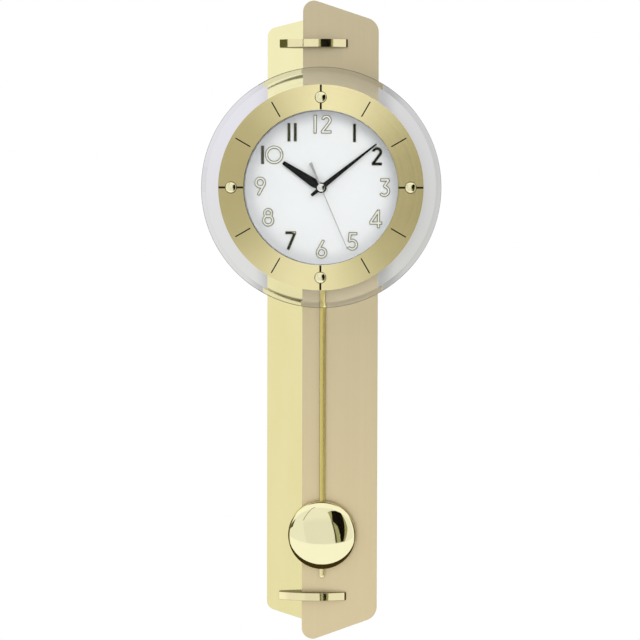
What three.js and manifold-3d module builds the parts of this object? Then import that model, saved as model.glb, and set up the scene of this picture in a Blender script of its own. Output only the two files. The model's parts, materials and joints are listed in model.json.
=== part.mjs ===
// A radio-controlled pendulum wall clock: two overlapping metal sheets on a split back board,
// a round glass front with a chapter ring, a dial with raised numerals and a two-motor movement.
import * as THREE from "three";
import { mergeVertices } from "three/addons/utils/BufferGeometryUtils.js";
import Module from "manifold-3d";

const wasm = await Module();
wasm.setup();

// Driving dimensions in millimetres and degrees.
// The face frame has x to the right, y up and z out of the wall, from the dial's axis at the wall.
const gap = 0.3;
const hangPoint = 124.5;
const turn = Math.PI / 180;

const sheet = { left: -59.5, seam: -21.8, right: 58.5, overlap: 10, thick: 2, holeRadius: 2.4 };
const leftSheet = {
  back: 13.6,
  topOuter: 168.5,
  topInner: 180.5,
  bottomOuter: -449.5,
  bottomInner: -464.5,
  round: 10,
};
const rightSheet = { back: 16, topInner: 203, topOuter: 176, bottomInner: -487.5, bottomOuter: -457.5 };
const rightRound = { sharp: 11.5, blunt: 15.5 };
const access = { half: 36, bottom: -36, top: 54, round: 6 };

const board = {
  back: 1.9,
  inset: 4,
  railBottom: 126,
  upperTop: 98,
  upperBottom: 56,
  lowerTop: -40,
  lowest: -490,
  highest: 205,
};
const hanger = { half: 13, bottom: 90, top: 136, thick: 1.6, round: 4 };
const keyhole = { entry: 106, entryRadius: 5.25, slotTop: 117, slotHalf: 2.6 };
const hangerScrew = {
  low: 94.5,
  high: 131.5,
  radius: 1.6,
  headRadius: 3.2,
  head: 1.7,
  back: 0.2,
  length: 11.5,
};
const pad = { half: 40, bottom: -440, top: -426, thick: 1.6, round: 3 };

const bracket = {
  left: -46.4,
  right: 25.8,
  half: 4.1,
  leftEdge: 20.2,
  rightEdge: 20.7,
  bow: 7.6,
  upper: 153.2,
  lower: -435.8,
};
const bracketStud = { radius: 2, left: -38, right: 18, tip: 9, root: 18.8 };

const post = {
  radius: 5,
  x: 46,
  upper: 64,
  lower: -50,
  front: 43.1,
  spigot: 2.4,
  spigotFront: 46,
  bore: 2.2,
  boreDepth: 12,
};
const postScrew = { radius: 2, headRadius: 4, back: 2.2, head: 2.2, tip: 26.5 };

const carrier = { radius: 100, back: 43.4, front: 46.4, bore: 5 };
const dial = { radius: 80.5, back: 46.7, front: 48.2, bore: 4.9 };
const numeral = {
  circle: 65.5,
  twist: 0.7,
  half: 9.6,
  stroke: 3,
  relief: 0.8,
  shift: 1.2,
  lift: 1,
  tenShift: 3,
};
const collar = {
  inner: 81,
  wall: 2,
  outer: 103,
  back: 46.7,
  flange: 54.6,
  front: 56.1,
  bossRadius: 5.5,
  bore: 2.7,
};
const glass = { radius: 125.5, back: 56.4, front: 60.4, facet: 5, facetDrop: 1, edge: 0.5, bore: 3 };
const ring = { inner: 81, outer: 107.4, back: 60.6, front: 61.8, bore: 2.8 };
const tick = { depth: 0.35, wide: 1.8, thin: 1.3, thinInner: 85, thinOuter: 103 };
const dome = {
  circle: 94,
  radius: 5.75,
  base: 62,
  wall: 2,
  shoulder: 0.8,
  crown: 0.55,
  stud: 2.4,
  studBack: 49,
};

const movement = {
  half: 30,
  bottom: -37,
  top: 50,
  round: 3,
  wall: 1.5,
  back: 25.9,
  front: 43.2,
  partition: 30.6,
  rib: 1.2,
};
const cover = { back: 24.4, front: 25.6, doorHalf: 26.5, doorBottom: 32.2, doorTop: 48 };
const bush = { radius: 4.5, bore: 2.7, front: 50 };
const nut = { acrossFlats: 13, bore: 4.8, back: 48.5, front: 49.9 };
const battery = { radius: 7.1, half: 24.6, nubRadius: 2.6, nub: 1, y: 40.1, z: 33.1 };
const contact = { inner: 26.2, thick: 0.6, half: 5 };
const circuit = { half: 27, bottom: -34.5, top: -13, back: 40.3, front: 41.3 };
const antenna = { y: -30, z: 35, coreRadius: 3.5, coreHalf: 26, coilRadius: 5, coilHalf: 9 };
const driveCoil = { y: -24, radius: 6.5, bore: 2, back: 26, front: 29 };
const button = {
  x: 21,
  y: -2,
  radius: 2,
  back: 22.9,
  flangeRadius: 2.8,
  flangeBack: 25.9,
  flangeFront: 26.7,
};

const motor = { coilRadius: 2.9, flangeRadius: 3.5, flange: 1.2, half: 9, z: 29.8 };
const stator = { halfWidth: 7.5, halfHeight: 6, bore: 3.9, back: 27.4, front: 28.3 };
const rotor = {
  radius: 3,
  back: 26.6,
  front: 29.4,
  module: 0.4,
  teeth: 6,
  bore: 0.58,
  stud: 0.38,
  pinionFront: 32.6,
};
const wheelTooth = { tip: 0.65, tipTurn: 0.05, root: 1.35 };
const pinionLeaf = { tip: 0.6, tipTurn: 0.08, root: 1, rootTurn: 0.24 };
const leafLimit = 8;
const minuteTrain = {
  centreTeeth: 48,
  pinionTeeth: 6,
  module: 0.48,
  bearing: 150,
  wheelTeeth: 45,
  rotorBearing: 120,
};
const secondTrain = {
  wheelTeeth: 30,
  pinionTeeth: 6,
  module: 0.6,
  bearing: -30,
  driveTeeth: 36,
  rotorBearing: -60,
};
const motionWork = {
  cannonTeeth: 8,
  wheelTeeth: 24,
  pinionTeeth: 8,
  hourTeeth: 32,
  distance: 12,
  bearing: 60,
};
const arbor = { second: 0.45, minuteBore: 0.75, minute: 1.35, hourBore: 1.65, hour: 2.4 };

const handAngle = { hour: 303.3, minute: 51.7, second: 156.7 };
const hourHand = {
  length: 48,
  root: 9.6,
  shoulder: 9,
  tip: 4,
  tail: 0,
  tailWidth: 5,
  hub: 5.6,
  bore: 2.6,
  back: 50.7,
  front: 51.3,
};
const minuteHand = {
  length: 73.7,
  root: 5.2,
  shoulder: 5,
  tip: 1.6,
  tail: 13,
  tailWidth: 3,
  hub: 5.2,
  bore: 1.55,
  back: 52.2,
  front: 52.8,
};
const secondHand = {
  length: 70,
  root: 0.9,
  tip: 0.7,
  tail: 28.3,
  tailRoot: 1.5,
  tailWidth: 3.2,
  hub: 4.1,
  bore: 0.65,
  back: 53.6,
  front: 54.1,
  cap: 55.4,
};

const pendulum = {
  pivot: 30,
  pinRadius: 1.6,
  headRadius: 2.6,
  headBack: 18.7,
  headFront: 19.3,
  collarBack: 22.1,
};
const arm = {
  back: 19.6,
  front: 21.8,
  eye: 5.5,
  bore: 1.85,
  half: 4.5,
  bottom: -46,
  magnetY: -24,
  magnetRadius: 4,
  seatWall: 2.2,
  hookRadius: 1.2,
};
const rodStrip = {
  half: 3,
  top: -39.5,
  bottom: -416,
  back: 22.1,
  front: 23.5,
  hook: -43,
  hookBore: 1.5,
  crownWide: 2.4,
  crownDeep: 0.65,
};
const bob = { y: -369.6, radius: 36.2, back: 23.9, backThick: 0.7, rim: 2.2, crown: 6.6, shell: 1.4 };
const bobLoop = { half: 6, height: 14, back: 20.4, slotHalf: 3.3, slotBack: 21.8, slotFront: 23.8 };

const gold = { colour: 0xe6d79c, roughness: 0.15, metalness: 1 };
const champagne = { colour: 0xc8b78f, roughness: 0.4, metalness: 1 };
const brass = { colour: 0xc9a94e, roughness: 0.25, metalness: 1 };
const steel = { colour: 0xb9bcc0, roughness: 0.35, metalness: 1 };
const darkSteel = { colour: 0x2a2a2a, roughness: 0.45, metalness: 0.6 };
const fibre = { colour: 0x3a3532, roughness: 0.9, metalness: 0 };
const white = { colour: 0xecedee, roughness: 0.6, metalness: 0 };
const black = { colour: 0x1b1c1e, roughness: 0.6, metalness: 0 };
const rubber = { colour: 0x222222, roughness: 0.95, metalness: 0 };
const clear = { colour: 0xe8f1ee, roughness: 0.02, metalness: 0 };
const copper = { colour: 0xb56a3a, roughness: 0.4, metalness: 1 };
const green = { colour: 0x1f5a36, roughness: 0.6, metalness: 0 };
const nylon = { colour: 0xe3e0d4, roughness: 0.5, metalness: 0 };
const cell = { colour: 0x2f3a46, roughness: 0.4, metalness: 0.2 };
const ferrite = { colour: 0x3b3c40, roughness: 0.7, metalness: 0.2 };

const clock = new THREE.Group();

function addPart(name, geometry, look) {
  const material = new THREE.MeshStandardMaterial({
    color: look.colour,
    roughness: look.roughness,
    metalness: look.metalness,
  });
  const mesh = new THREE.Mesh(geometry, material);
  mesh.name = name;
  clock.add(mesh);
}

// Solid modelling helpers.

function solidOf(geometry) {
  const bare = geometry.clone();
  bare.deleteAttribute("normal");
  bare.deleteAttribute("uv");
  const welded = mergeVertices(bare, 1e-4);
  const index = welded.index.array;
  const triangles = [];
  for (let i = 0; i < index.length; i += 3) {
    const [a, b, c] = [index[i], index[i + 1], index[i + 2]];
    if (a !== b && b !== c && c !== a) {
      triangles.push(a, b, c);
    }
  }
  const vertProperties = new Float32Array(welded.attributes.position.array);
  const triVerts = new Uint32Array(triangles);
  return new wasm.Manifold(new wasm.Mesh({ numProp: 3, vertProperties, triVerts }));
}

function geometryOf(solid) {
  const mesh = solid.getMesh();
  const geometry = new THREE.BufferGeometry();
  geometry.setAttribute("position", new THREE.BufferAttribute(new Float32Array(mesh.vertProperties), 3));
  geometry.setIndex(new THREE.BufferAttribute(new Uint32Array(mesh.triVerts), 1));
  geometry.computeVertexNormals();
  return geometry;
}

function fuse(...pieces) {
  return geometryOf(pieces.map(solidOf).reduce((whole, piece) => whole.add(piece)));
}

function cut(body, ...tools) {
  return geometryOf(tools.map(solidOf).reduce((rest, tool) => rest.subtract(tool), solidOf(body)));
}

function common(body, other) {
  return geometryOf(solidOf(body).intersect(solidOf(other)));
}

function prism(shape, back, front, arcSteps = 6) {
  const options = { depth: front - back, bevelEnabled: false, curveSegments: arcSteps };
  return new THREE.ExtrudeGeometry(shape, options).translate(0, 0, back);
}

function turned(profile, steps) {
  const points = profile.map(([radius, z]) => new THREE.Vector2(radius, z));
  return new THREE.LatheGeometry(points, steps).rotateX(Math.PI / 2);
}

function annulus(inner, outer, back, front, steps) {
  return turned([[inner, back], [outer, back], [outer, front], [inner, front], [inner, back]], steps);
}

function rod(radius, back, front, x = 0, y = 0, steps = 16) {
  const cylinder = new THREE.CylinderGeometry(radius, radius, front - back, steps).rotateX(Math.PI / 2);
  return cylinder.translate(x, y, (back + front) / 2);
}

function crossRod(radius, left, right, y, z, steps = 16) {
  const cylinder = new THREE.CylinderGeometry(radius, radius, right - left, steps).rotateZ(-Math.PI / 2);
  return cylinder.translate((left + right) / 2, y, z);
}

function block(left, right, bottom, top, back, front) {
  const box = new THREE.BoxGeometry(right - left, top - bottom, front - back);
  return box.translate((left + right) / 2, (bottom + top) / 2, (back + front) / 2);
}

function polygon(points) {
  return new THREE.Shape(points.map(([x, y]) => new THREE.Vector2(x, y)));
}

// Rounds each corner [x, y, radius] of an anticlockwise convex outline with a tangent arc.
function roundedShape(corners) {
  const shape = new THREE.Shape();
  corners.forEach(([x, y, radius], i) => {
    const here = new THREE.Vector2(x, y);
    const [beforeX, beforeY] = corners.at(i - 1);
    const [afterX, afterY] = corners[(i + 1) % corners.length];
    const back = new THREE.Vector2(beforeX, beforeY).sub(here).normalize();
    const ahead = new THREE.Vector2(afterX, afterY).sub(here).normalize();
    const half = Math.acos(back.dot(ahead)) / 2;
    const centre = back.clone().add(ahead).normalize().multiplyScalar(radius / Math.sin(half)).add(here);
    const start = here.clone().addScaledVector(back, radius / Math.tan(half)).sub(centre);
    const end = here.clone().addScaledVector(ahead, radius / Math.tan(half)).sub(centre);
    shape.absarc(centre.x, centre.y, radius, start.angle(), end.angle(), false);
  });
  return shape;
}

function roundedBox(left, right, bottom, top, radius) {
  const corners = [[left, bottom], [right, bottom], [right, top], [left, top]];
  return roundedShape(corners.map(([x, y]) => [x, y, radius]));
}

function around(count, radius, startAngle = 0) {
  return Array.from({ length: count }, (_, i) => {
    const angle = startAngle + (i * 2 * Math.PI) / count;
    return [radius * Math.sin(angle), radius * Math.cos(angle)];
  });
}

// The two metal sheets and the split back board behind them.

const postPlaces = [
  { name: "upper_left", x: -post.x, y: post.upper, back: leftSheet.back + sheet.thick + gap },
  { name: "upper_right", x: post.x, y: post.upper, back: rightSheet.back + sheet.thick + gap },
  { name: "lower_left", x: -post.x, y: post.lower, back: leftSheet.back + sheet.thick + gap },
  { name: "lower_right", x: post.x, y: post.lower, back: rightSheet.back + sheet.thick + gap },
];
const bracketHeights = [bracket.upper, bracket.lower];

function accessCutter() {
  const window = roundedBox(-access.half, access.half, access.bottom, access.top, access.round);
  return prism(window, 0, rightSheet.back + 10, 4);
}

function fixingCutters() {
  const posts = postPlaces.map(({ x, y }) => rod(sheet.holeRadius, 0, 30, x, y, 10));
  const studs = bracketHeights.flatMap((y) =>
    [bracketStud.left, bracketStud.right].map((x) => rod(sheet.holeRadius, 0, 30, x, y, 10)));
  return [...posts, ...studs];
}

function leftOutline() {
  const inner = sheet.seam + sheet.overlap;
  return roundedShape([
    [sheet.left, leftSheet.bottomOuter, leftSheet.round],
    [inner, leftSheet.bottomInner, 1],
    [inner, leftSheet.topInner, 1],
    [sheet.left, leftSheet.topOuter, leftSheet.round],
  ]);
}

function rightOutline() {
  return roundedShape([
    [sheet.seam, rightSheet.bottomInner, rightRound.sharp],
    [sheet.right, rightSheet.bottomOuter, rightRound.blunt],
    [sheet.right, rightSheet.topOuter, rightRound.blunt],
    [sheet.seam, rightSheet.topInner, rightRound.sharp],
  ]);
}

function addSheets() {
  const left = prism(leftOutline(), leftSheet.back, leftSheet.back + sheet.thick);
  const right = prism(rightOutline(), rightSheet.back, rightSheet.back + sheet.thick);
  addPart("left_sheet", cut(left, accessCutter(), ...fixingCutters()), gold);
  addPart("right_sheet", cut(right, accessCutter(), ...fixingCutters()), champagne);
}

// The whole board's solid: a low zone behind the left sheet and a high zone behind the right one.
function boardSolid() {
  const step = sheet.seam + sheet.overlap + gap;
  const leftX = sheet.left + board.inset;
  const rightX = sheet.right - board.inset;
  const slopeTop = (rightSheet.topOuter - rightSheet.topInner) / (sheet.right - sheet.seam);
  const slopeBottom = (rightSheet.bottomOuter - rightSheet.bottomInner) / (sheet.right - sheet.seam);
  const margin = board.inset * 1.1;
  const topAt = (x) => rightSheet.topInner + slopeTop * (x - sheet.seam) - margin;
  const bottomAt = (x) => rightSheet.bottomInner + slopeBottom * (x - sheet.seam) + margin;
  const low = roundedShape([
    [leftX, leftSheet.bottomOuter + margin, leftSheet.round],
    [step, leftSheet.bottomInner + margin, 0.5],
    [step, leftSheet.topInner - margin, 0.5],
    [leftX, leftSheet.topOuter - margin, leftSheet.round],
  ]);
  const high = roundedShape([
    [step, bottomAt(step), 0.5],
    [rightX, bottomAt(rightX), rightRound.blunt],
    [rightX, topAt(rightX), rightRound.blunt],
    [step, topAt(step), 0.5],
  ]);
  const lowZone = prism(low, board.back, leftSheet.back - gap, 4);
  const highZone = prism(high, board.back, rightSheet.back - gap, 4);
  const [bridgeBottom, bridgeTop] = [leftSheet.bottomInner + 8, leftSheet.topInner - 8];
  const bridge = block(step - 5, step + 5, bridgeBottom, bridgeTop, board.back, leftSheet.back - gap);
  return fuse(lowZone, highZone, bridge);
}

function countersink(x, y, back, radius, headRadius, depth) {
  const floor = back + depth;
  const profile = [[0, back - 1], [headRadius, back - 1], [headRadius, back], [radius, floor], [0, floor]];
  return turned(profile, 12).translate(x, y, 0);
}

function addBoards() {
  const whole = boardSolid();
  const sinks = postPlaces.map(({ x, y }) =>
    countersink(x, y, postScrew.back, sheet.holeRadius, postScrew.headRadius + gap, postScrew.head + gap));
  const hangerHeights = [hangerScrew.low, hangerScrew.high];
  const hangerHoles = hangerHeights.map((y) => rod(hangerScrew.radius + gap, 0, 13, 0, y, 12));
  const drilled = cut(whole, ...fixingCutters(), ...sinks, ...hangerHoles);
  const slice = (bottom, top) => common(drilled, block(-80, 80, bottom, top, 0, 30));
  addPart("back_rail_top", slice(board.railBottom, board.highest), fibre);
  addPart("back_board_upper", slice(board.upperBottom, board.upperTop), fibre);
  addPart("back_board_lower", slice(board.lowest, board.lowerTop), fibre);
}

function addHanger() {
  const outline = roundedBox(-hanger.half, hanger.half, hanger.bottom, hanger.top, hanger.round);
  const plate = prism(outline, 0, hanger.thick, 4);
  const entry = rod(keyhole.entryRadius, -1, 3, 0, keyhole.entry, 16);
  const slot = block(-keyhole.slotHalf, keyhole.slotHalf, keyhole.entry, keyhole.slotTop, -1, 3);
  const slotEnd = rod(keyhole.slotHalf, -1, 3, 0, keyhole.slotTop, 12);
  const heights = [hangerScrew.low, hangerScrew.high];
  const holes = heights.map((y) => rod(hangerScrew.radius + gap, -1, 3, 0, y, 12));
  const sinks = heights.map((y) =>
    countersink(0, y, 0, hangerScrew.radius + gap, hangerScrew.headRadius + 2 * gap, hangerScrew.head));
  addPart("hanger_plate", cut(plate, entry, slot, slotEnd, ...holes, ...sinks), steel);
  const { radius, headRadius, head, back, length } = hangerScrew;
  const profile = [[0, back], [headRadius, back], [radius, back + head], [radius, length], [0, length + 1]];
  addPart("hanger_screw_lower", turned(profile, 8).translate(0, hangerScrew.low, 0), steel);
  addPart("hanger_screw_upper", turned(profile, 8).translate(0, hangerScrew.high, 0), steel);
}

function addPad() {
  const strip = roundedBox(-pad.half, pad.half, pad.bottom, pad.top, pad.round);
  addPart("wall_pad", prism(strip, 0, pad.thick, 4), rubber);
}

// Bowed brass bars that tie the two sheets together over the seam.
function bracketSolid(height) {
  const { left, right, leftEdge, rightEdge, bow, half } = bracket;
  const chord = Math.hypot(right - left, rightEdge - leftEdge);
  const lean = Math.atan2(rightEdge - leftEdge, right - left);
  const radius = ((chord / 2) ** 2 + bow ** 2) / (2 * bow);
  const sweep = Math.asin(chord / 2 / radius);
  const centreX = (left + right) / 2 + (radius - bow) * Math.sin(lean);
  const centreZ = (leftEdge + rightEdge) / 2 - (radius - bow) * Math.cos(lean);
  const upright = Math.PI / 2 + lean;
  const leftBack = leftSheet.back + sheet.thick + gap;
  const rightBack = rightSheet.back + sheet.thick + gap;
  const plan = new THREE.Shape();
  plan.moveTo(left, leftBack);
  plan.lineTo(sheet.seam - gap, leftBack);
  plan.lineTo(sheet.seam - gap, rightBack);
  plan.lineTo(right, rightBack);
  plan.absarc(centreX, centreZ, radius, upright - sweep, upright + sweep, false);
  const bar = prism(plan, -half, half, 20).rotateX(Math.PI / 2);
  const studs = [bracketStud.left, bracketStud.right].map((x) =>
    rod(bracketStud.radius, bracketStud.tip, bracketStud.root, x, 0, 12));
  return fuse(bar, ...studs).translate(0, height, 0);
}

function addBrackets() {
  addPart("bracket_top", bracketSolid(bracket.upper), brass);
  addPart("bracket_bottom", bracketSolid(bracket.lower), brass);
}

// Spacer posts that hold the dial in front of the sheets.
function addPosts() {
  for (const { name, x, y, back } of postPlaces) {
    const body = turned([
      [0, back],
      [post.radius, back],
      [post.radius, post.front],
      [post.spigot, post.front],
      [post.spigot, post.spigotFront],
      [0, post.spigotFront],
    ], 14);
    const bore = rod(post.bore, back - 1, back + post.boreDepth, 0, 0, 8);
    addPart(`post_${name}`, cut(body, bore).translate(x, y, 0), brass);
    const screw = turned([
      [0, postScrew.back],
      [postScrew.headRadius, postScrew.back],
      [postScrew.radius, postScrew.back + postScrew.head],
      [postScrew.radius, postScrew.tip],
      [0, postScrew.tip + 1],
    ], 8);
    addPart(`post_screw_${name}`, screw.translate(x, y, 0), steel);
  }
}

// The dial: carrier plate, moulded face with raised numerals, collar, glass, chapter ring and caps.

function bar(startX, startY, endX, endY) {
  const along = new THREE.Vector2(endX - startX, endY - startY).normalize();
  const sideX = (-along.y * numeral.stroke) / 2;
  const sideY = (along.x * numeral.stroke) / 2;
  return polygon([
    [startX - sideX, startY - sideY],
    [endX - sideX, endY - sideY],
    [endX + sideX, endY + sideY],
    [startX + sideX, startY + sideY],
  ]);
}

function arcBand(x, y, radius, startAngle, endAngle) {
  const shape = new THREE.Shape();
  shape.absarc(x, y, radius + numeral.stroke / 2, startAngle * turn, endAngle * turn, false);
  shape.absarc(x, y, radius - numeral.stroke / 2, endAngle * turn, startAngle * turn, true);
  return shape;
}

function loop(x, y, radius) {
  return [arcBand(x, y, radius, 0, 185), arcBand(x, y, radius, 180, 365)];
}

// Stroke outlines of each digit about its own centre, in millimetres.
const edge = numeral.half - numeral.stroke / 2;
const digitStrokes = {
  0: loop(0, 0, edge),
  1: [bar(0, -numeral.half, 0, numeral.half)],
  2: [arcBand(0, 4.2, edge - 4.2, -38, 170), bar(3.1, 1.9, -4.6, -edge), bar(-5.6, -edge, 5.2, -edge)],
  3: [bar(-4.8, edge, 4.6, edge), bar(4.1, edge, -0.9, 1), arcBand(-0.6, -3.5, edge - 3.5, -150, 100)],
  4: [bar(2.6, -numeral.half, 2.6, numeral.half), bar(2.2, edge, -5.8, -3.9), bar(-6.8, -4.4, 6.4, -4.4)],
  5: [
    bar(-3.6, edge, 4.6, edge),
    bar(-2.7, numeral.half, -3.8, 0),
    arcBand(-0.8, -3.4, edge - 3.4, -150, 140),
  ],
  6: [...loop(0, -3.6, edge - 3.6), bar(-4.2, -2, 2.2, numeral.half)],
  7: [bar(-5.6, edge, 5.6, edge), bar(4.6, edge, -2.8, -numeral.half)],
  8: [...loop(0, edge - 3.7, 3.7), ...loop(0, 4.8 - edge, 4.8)],
  9: [...loop(0, 3.6, edge - 3.6), bar(4.2, 2, -2.2, -numeral.half)],
};
const pairOffsets = { 10: [-9.8, 2.5], 11: [-3.35, 3.35], 12: [-8.6, 3.2] };

function numeralPieces(hour) {
  const angle = (hour * 30 + numeral.twist) * turn;
  const nudge = hour === 10 ? numeral.tenShift : 0;
  const x = numeral.circle * Math.sin(angle) + numeral.shift + nudge;
  const y = numeral.circle * Math.cos(angle) + numeral.lift;
  const offsets = pairOffsets[hour] ?? [0];
  return [...String(hour)].flatMap((digit, i) =>
    digitStrokes[digit].map((stroke) =>
      prism(stroke, dial.back + 0.5, dial.front + numeral.relief, 5).translate(x + offsets[i], y, 0)));
}

function addDial() {
  const plate = annulus(dial.bore, dial.radius, dial.back, dial.front, 48);
  const numerals = Array.from({ length: 12 }, (_, i) => numeralPieces(i + 1)).flat();
  addPart("dial", fuse(plate, ...numerals), white);

  const disc = annulus(carrier.bore, carrier.radius, carrier.back, carrier.front, 40);
  const spigotHoles = postPlaces.map(({ x, y }) =>
    rod(post.spigot + gap, carrier.back - 1, carrier.front + 1, x, y, 8));
  addPart("dial_carrier", cut(disc, ...spigotHoles), black);
}

function addCollar() {
  const wall = collar.inner + collar.wall;
  const band = turned([
    [collar.inner, collar.back],
    [wall, collar.back],
    [wall, collar.flange],
    [collar.outer, collar.flange],
    [collar.outer, collar.front],
    [collar.inner, collar.front],
    [collar.inner, collar.back],
  ], 48);
  const places = around(4, dome.circle);
  const bosses = places.map(([x, y]) =>
    rod(collar.bossRadius, collar.back, collar.flange + 0.5, x, y, 16));
  const bores = places.map(([x, y]) => rod(collar.bore, collar.back - 1, collar.front + 1, x, y, 12));
  addPart("dial_collar", cut(fuse(band, ...bosses), ...bores), gold);
}

function addGlass() {
  const facetTop = glass.radius - glass.edge;
  const disc = turned([
    [0, glass.back],
    [facetTop, glass.back],
    [glass.radius, glass.back + glass.edge],
    [glass.radius, glass.front - glass.facetDrop - glass.edge],
    [facetTop, glass.front - glass.facetDrop],
    [facetTop - glass.facet, glass.front],
    [0, glass.front],
  ], 64);
  const bores = around(4, dome.circle).map(([x, y]) =>
    rod(glass.bore, glass.back - 1, glass.front + 1, x, y, 12));
  addPart("glass_disc", cut(disc, ...bores), clear);
}

function addRing() {
  const band = annulus(ring.inner, ring.outer, ring.back, ring.front, 64);
  const bores = around(4, dome.circle).map(([x, y]) =>
    rod(ring.bore, ring.back - 1, ring.front + 1, x, y, 12));
  const grooves = Array.from({ length: 12 }, (_, i) => {
    const wide = i % 3 === 0;
    const half = (wide ? tick.wide : tick.thin) / 2;
    const inner = wide ? ring.inner - 1 : tick.thinInner;
    const outer = wide ? ring.outer + 1 : tick.thinOuter;
    return block(-half, half, inner, outer, ring.front - tick.depth, ring.front + 1).rotateZ(-i * 30 * turn);
  });
  addPart("chapter_ring", cut(band, ...bores, ...grooves), gold);
}

// Low-crowned cap screws: a short wall, a small shoulder and a shallow dome.
function addDomes() {
  const { radius, base, wall, shoulder, crown, stud, studBack } = dome;
  const crownRadius = radius - shoulder;
  const crownSteps = 4;
  const curve = Array.from({ length: crownSteps }, (_, step) => {
    const share = 1 - step / crownSteps;
    return [crownRadius * share, base + wall + crown * (1 - share ** 2)];
  });
  const profile = [
    [0, studBack],
    [stud, studBack],
    [stud, base],
    [radius, base],
    [radius, base + wall - shoulder],
    ...curve,
    [0, base + wall + crown],
  ];
  around(4, dome.circle).forEach(([x, y], i) => {
    addPart(`dome_screw_${i === 0 ? 12 : i * 3}`, turned(profile, 16).translate(x, y, 0), gold);
  });
}

// The movement: case, cover, battery, circuit, antenna and the two motors.

const place = (bearing, distance, x = 0, y = 0) => ({
  x: x + distance * Math.cos(bearing * turn),
  y: y + distance * Math.sin(bearing * turn),
});
const meshDistance = (first, second, module) => ((first + second) * module) / 2;

const centreMesh = meshDistance(minuteTrain.centreTeeth, minuteTrain.pinionTeeth, minuteTrain.module);
const minuteRotorMesh = meshDistance(minuteTrain.wheelTeeth, rotor.teeth, rotor.module);
const secondMesh = meshDistance(secondTrain.wheelTeeth, secondTrain.pinionTeeth, secondTrain.module);
const secondRotorMesh = meshDistance(secondTrain.driveTeeth, rotor.teeth, rotor.module);
const reductionAt = place(minuteTrain.bearing, centreMesh);
const minuteRotorAt = place(minuteTrain.rotorBearing, minuteRotorMesh, reductionAt.x, reductionAt.y);
const driveAt = place(secondTrain.bearing, secondMesh);
const secondRotorAt = place(secondTrain.rotorBearing, secondRotorMesh, driveAt.x, driveAt.y);
const motionAt = place(motionWork.bearing, motionWork.distance);

const wheelLevel = {
  seconds: [29, 30.2],
  secondsPinion: [28.6, 31.3],
  secondsDrive: [31.2, 32.4],
  reduction: [31, 32.3],
  reductionPinion: [32.2, 35.1],
  centre: [33.4, 34.8],
  cannon: [34.7, 38.2],
  motion: [36, 37.4],
  motionPinion: [37.3, 41],
  hour: [39.4, 40.8],
};
const studRadius = { motion: 0.8, reduction: 0.55, drive: 0.65 };
const studBore = { motion: 1.05, reduction: 0.8, drive: 0.9 };

function addCase() {
  const { half, bottom, top, round, wall, back, front, partition } = movement;
  const shell = prism(roundedBox(-half, half, bottom, top, round), back, front, 4);
  const inside = roundedBox(wall - half, half - wall, bottom + wall, top - wall, round - wall);
  const cavity = prism(inside, back - 1, front - wall, 4);
  const ribHalf = half - wall + 0.5;
  const ribFront = front - wall + 0.5;
  const rib = block(-ribHalf, ribHalf, partition, partition + movement.rib, back, ribFront);
  const neck = rod(bush.radius, front - 0.5, bush.front, 0, 0, 24);
  const stud = rod(studRadius.motion, wheelLevel.motion[0] - 0.6, ribFront, motionAt.x, motionAt.y, 10);
  const bore = rod(bush.bore, front - wall - 1, bush.front + 1, 0, 0, 20);
  addPart("movement_case", cut(fuse(cut(shell, cavity), rib, neck, stud), bore), black);
}

function addCover() {
  const { half, bottom, top, round } = movement;
  const plate = prism(roundedBox(-half, half, bottom, top, round), cover.back, cover.front, 4);
  const { doorHalf, doorBottom, doorTop } = cover;
  const door = block(-doorHalf, doorHalf, doorBottom, doorTop, cover.back - 1, cover.front + 1);
  const buttonHoles = [-button.x, button.x].map((x) =>
    rod(button.radius + gap, cover.back - 1, cover.front + 1, x, button.y, 14));
  const inside = cover.front - 0.4;
  const studs = [
    rod(studRadius.reduction, inside, wheelLevel.reductionPinion[1] + 0.2, reductionAt.x, reductionAt.y, 10),
    rod(studRadius.drive, inside, wheelLevel.secondsDrive[1] + 0.5, driveAt.x, driveAt.y, 10),
    rod(rotor.stud, inside, rotor.pinionFront + 0.2, minuteRotorAt.x, minuteRotorAt.y, 8),
    rod(rotor.stud, inside, rotor.pinionFront + 0.2, secondRotorAt.x, secondRotorAt.y, 8),
  ];
  const socket = cut(rod(1.7, inside, 28, 0, 0, 12), rod(0.75, 26.2, 29, 0, 0, 10));
  const pin = turned([
    [0, pendulum.headBack],
    [pendulum.headRadius, pendulum.headBack],
    [pendulum.headRadius, pendulum.headFront],
    [pendulum.pinRadius, pendulum.headFront],
    [pendulum.pinRadius, pendulum.collarBack],
    [pendulum.headRadius, pendulum.collarBack],
    [pendulum.headRadius, cover.back + 0.4],
    [0, cover.back + 0.4],
  ], 14).translate(0, pendulum.pivot, 0);
  addPart("movement_cover", fuse(cut(plate, door, ...buttonHoles), ...studs, socket, pin), black);
}

function addNut() {
  const corner = nut.acrossFlats / Math.sqrt(3);
  const hexagon = rod(corner, nut.back, nut.front, 0, 0, 6);
  addPart("shaft_nut", cut(hexagon, rod(nut.bore, nut.back - 1, nut.front + 1, 0, 0, 24)), steel);
}

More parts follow.
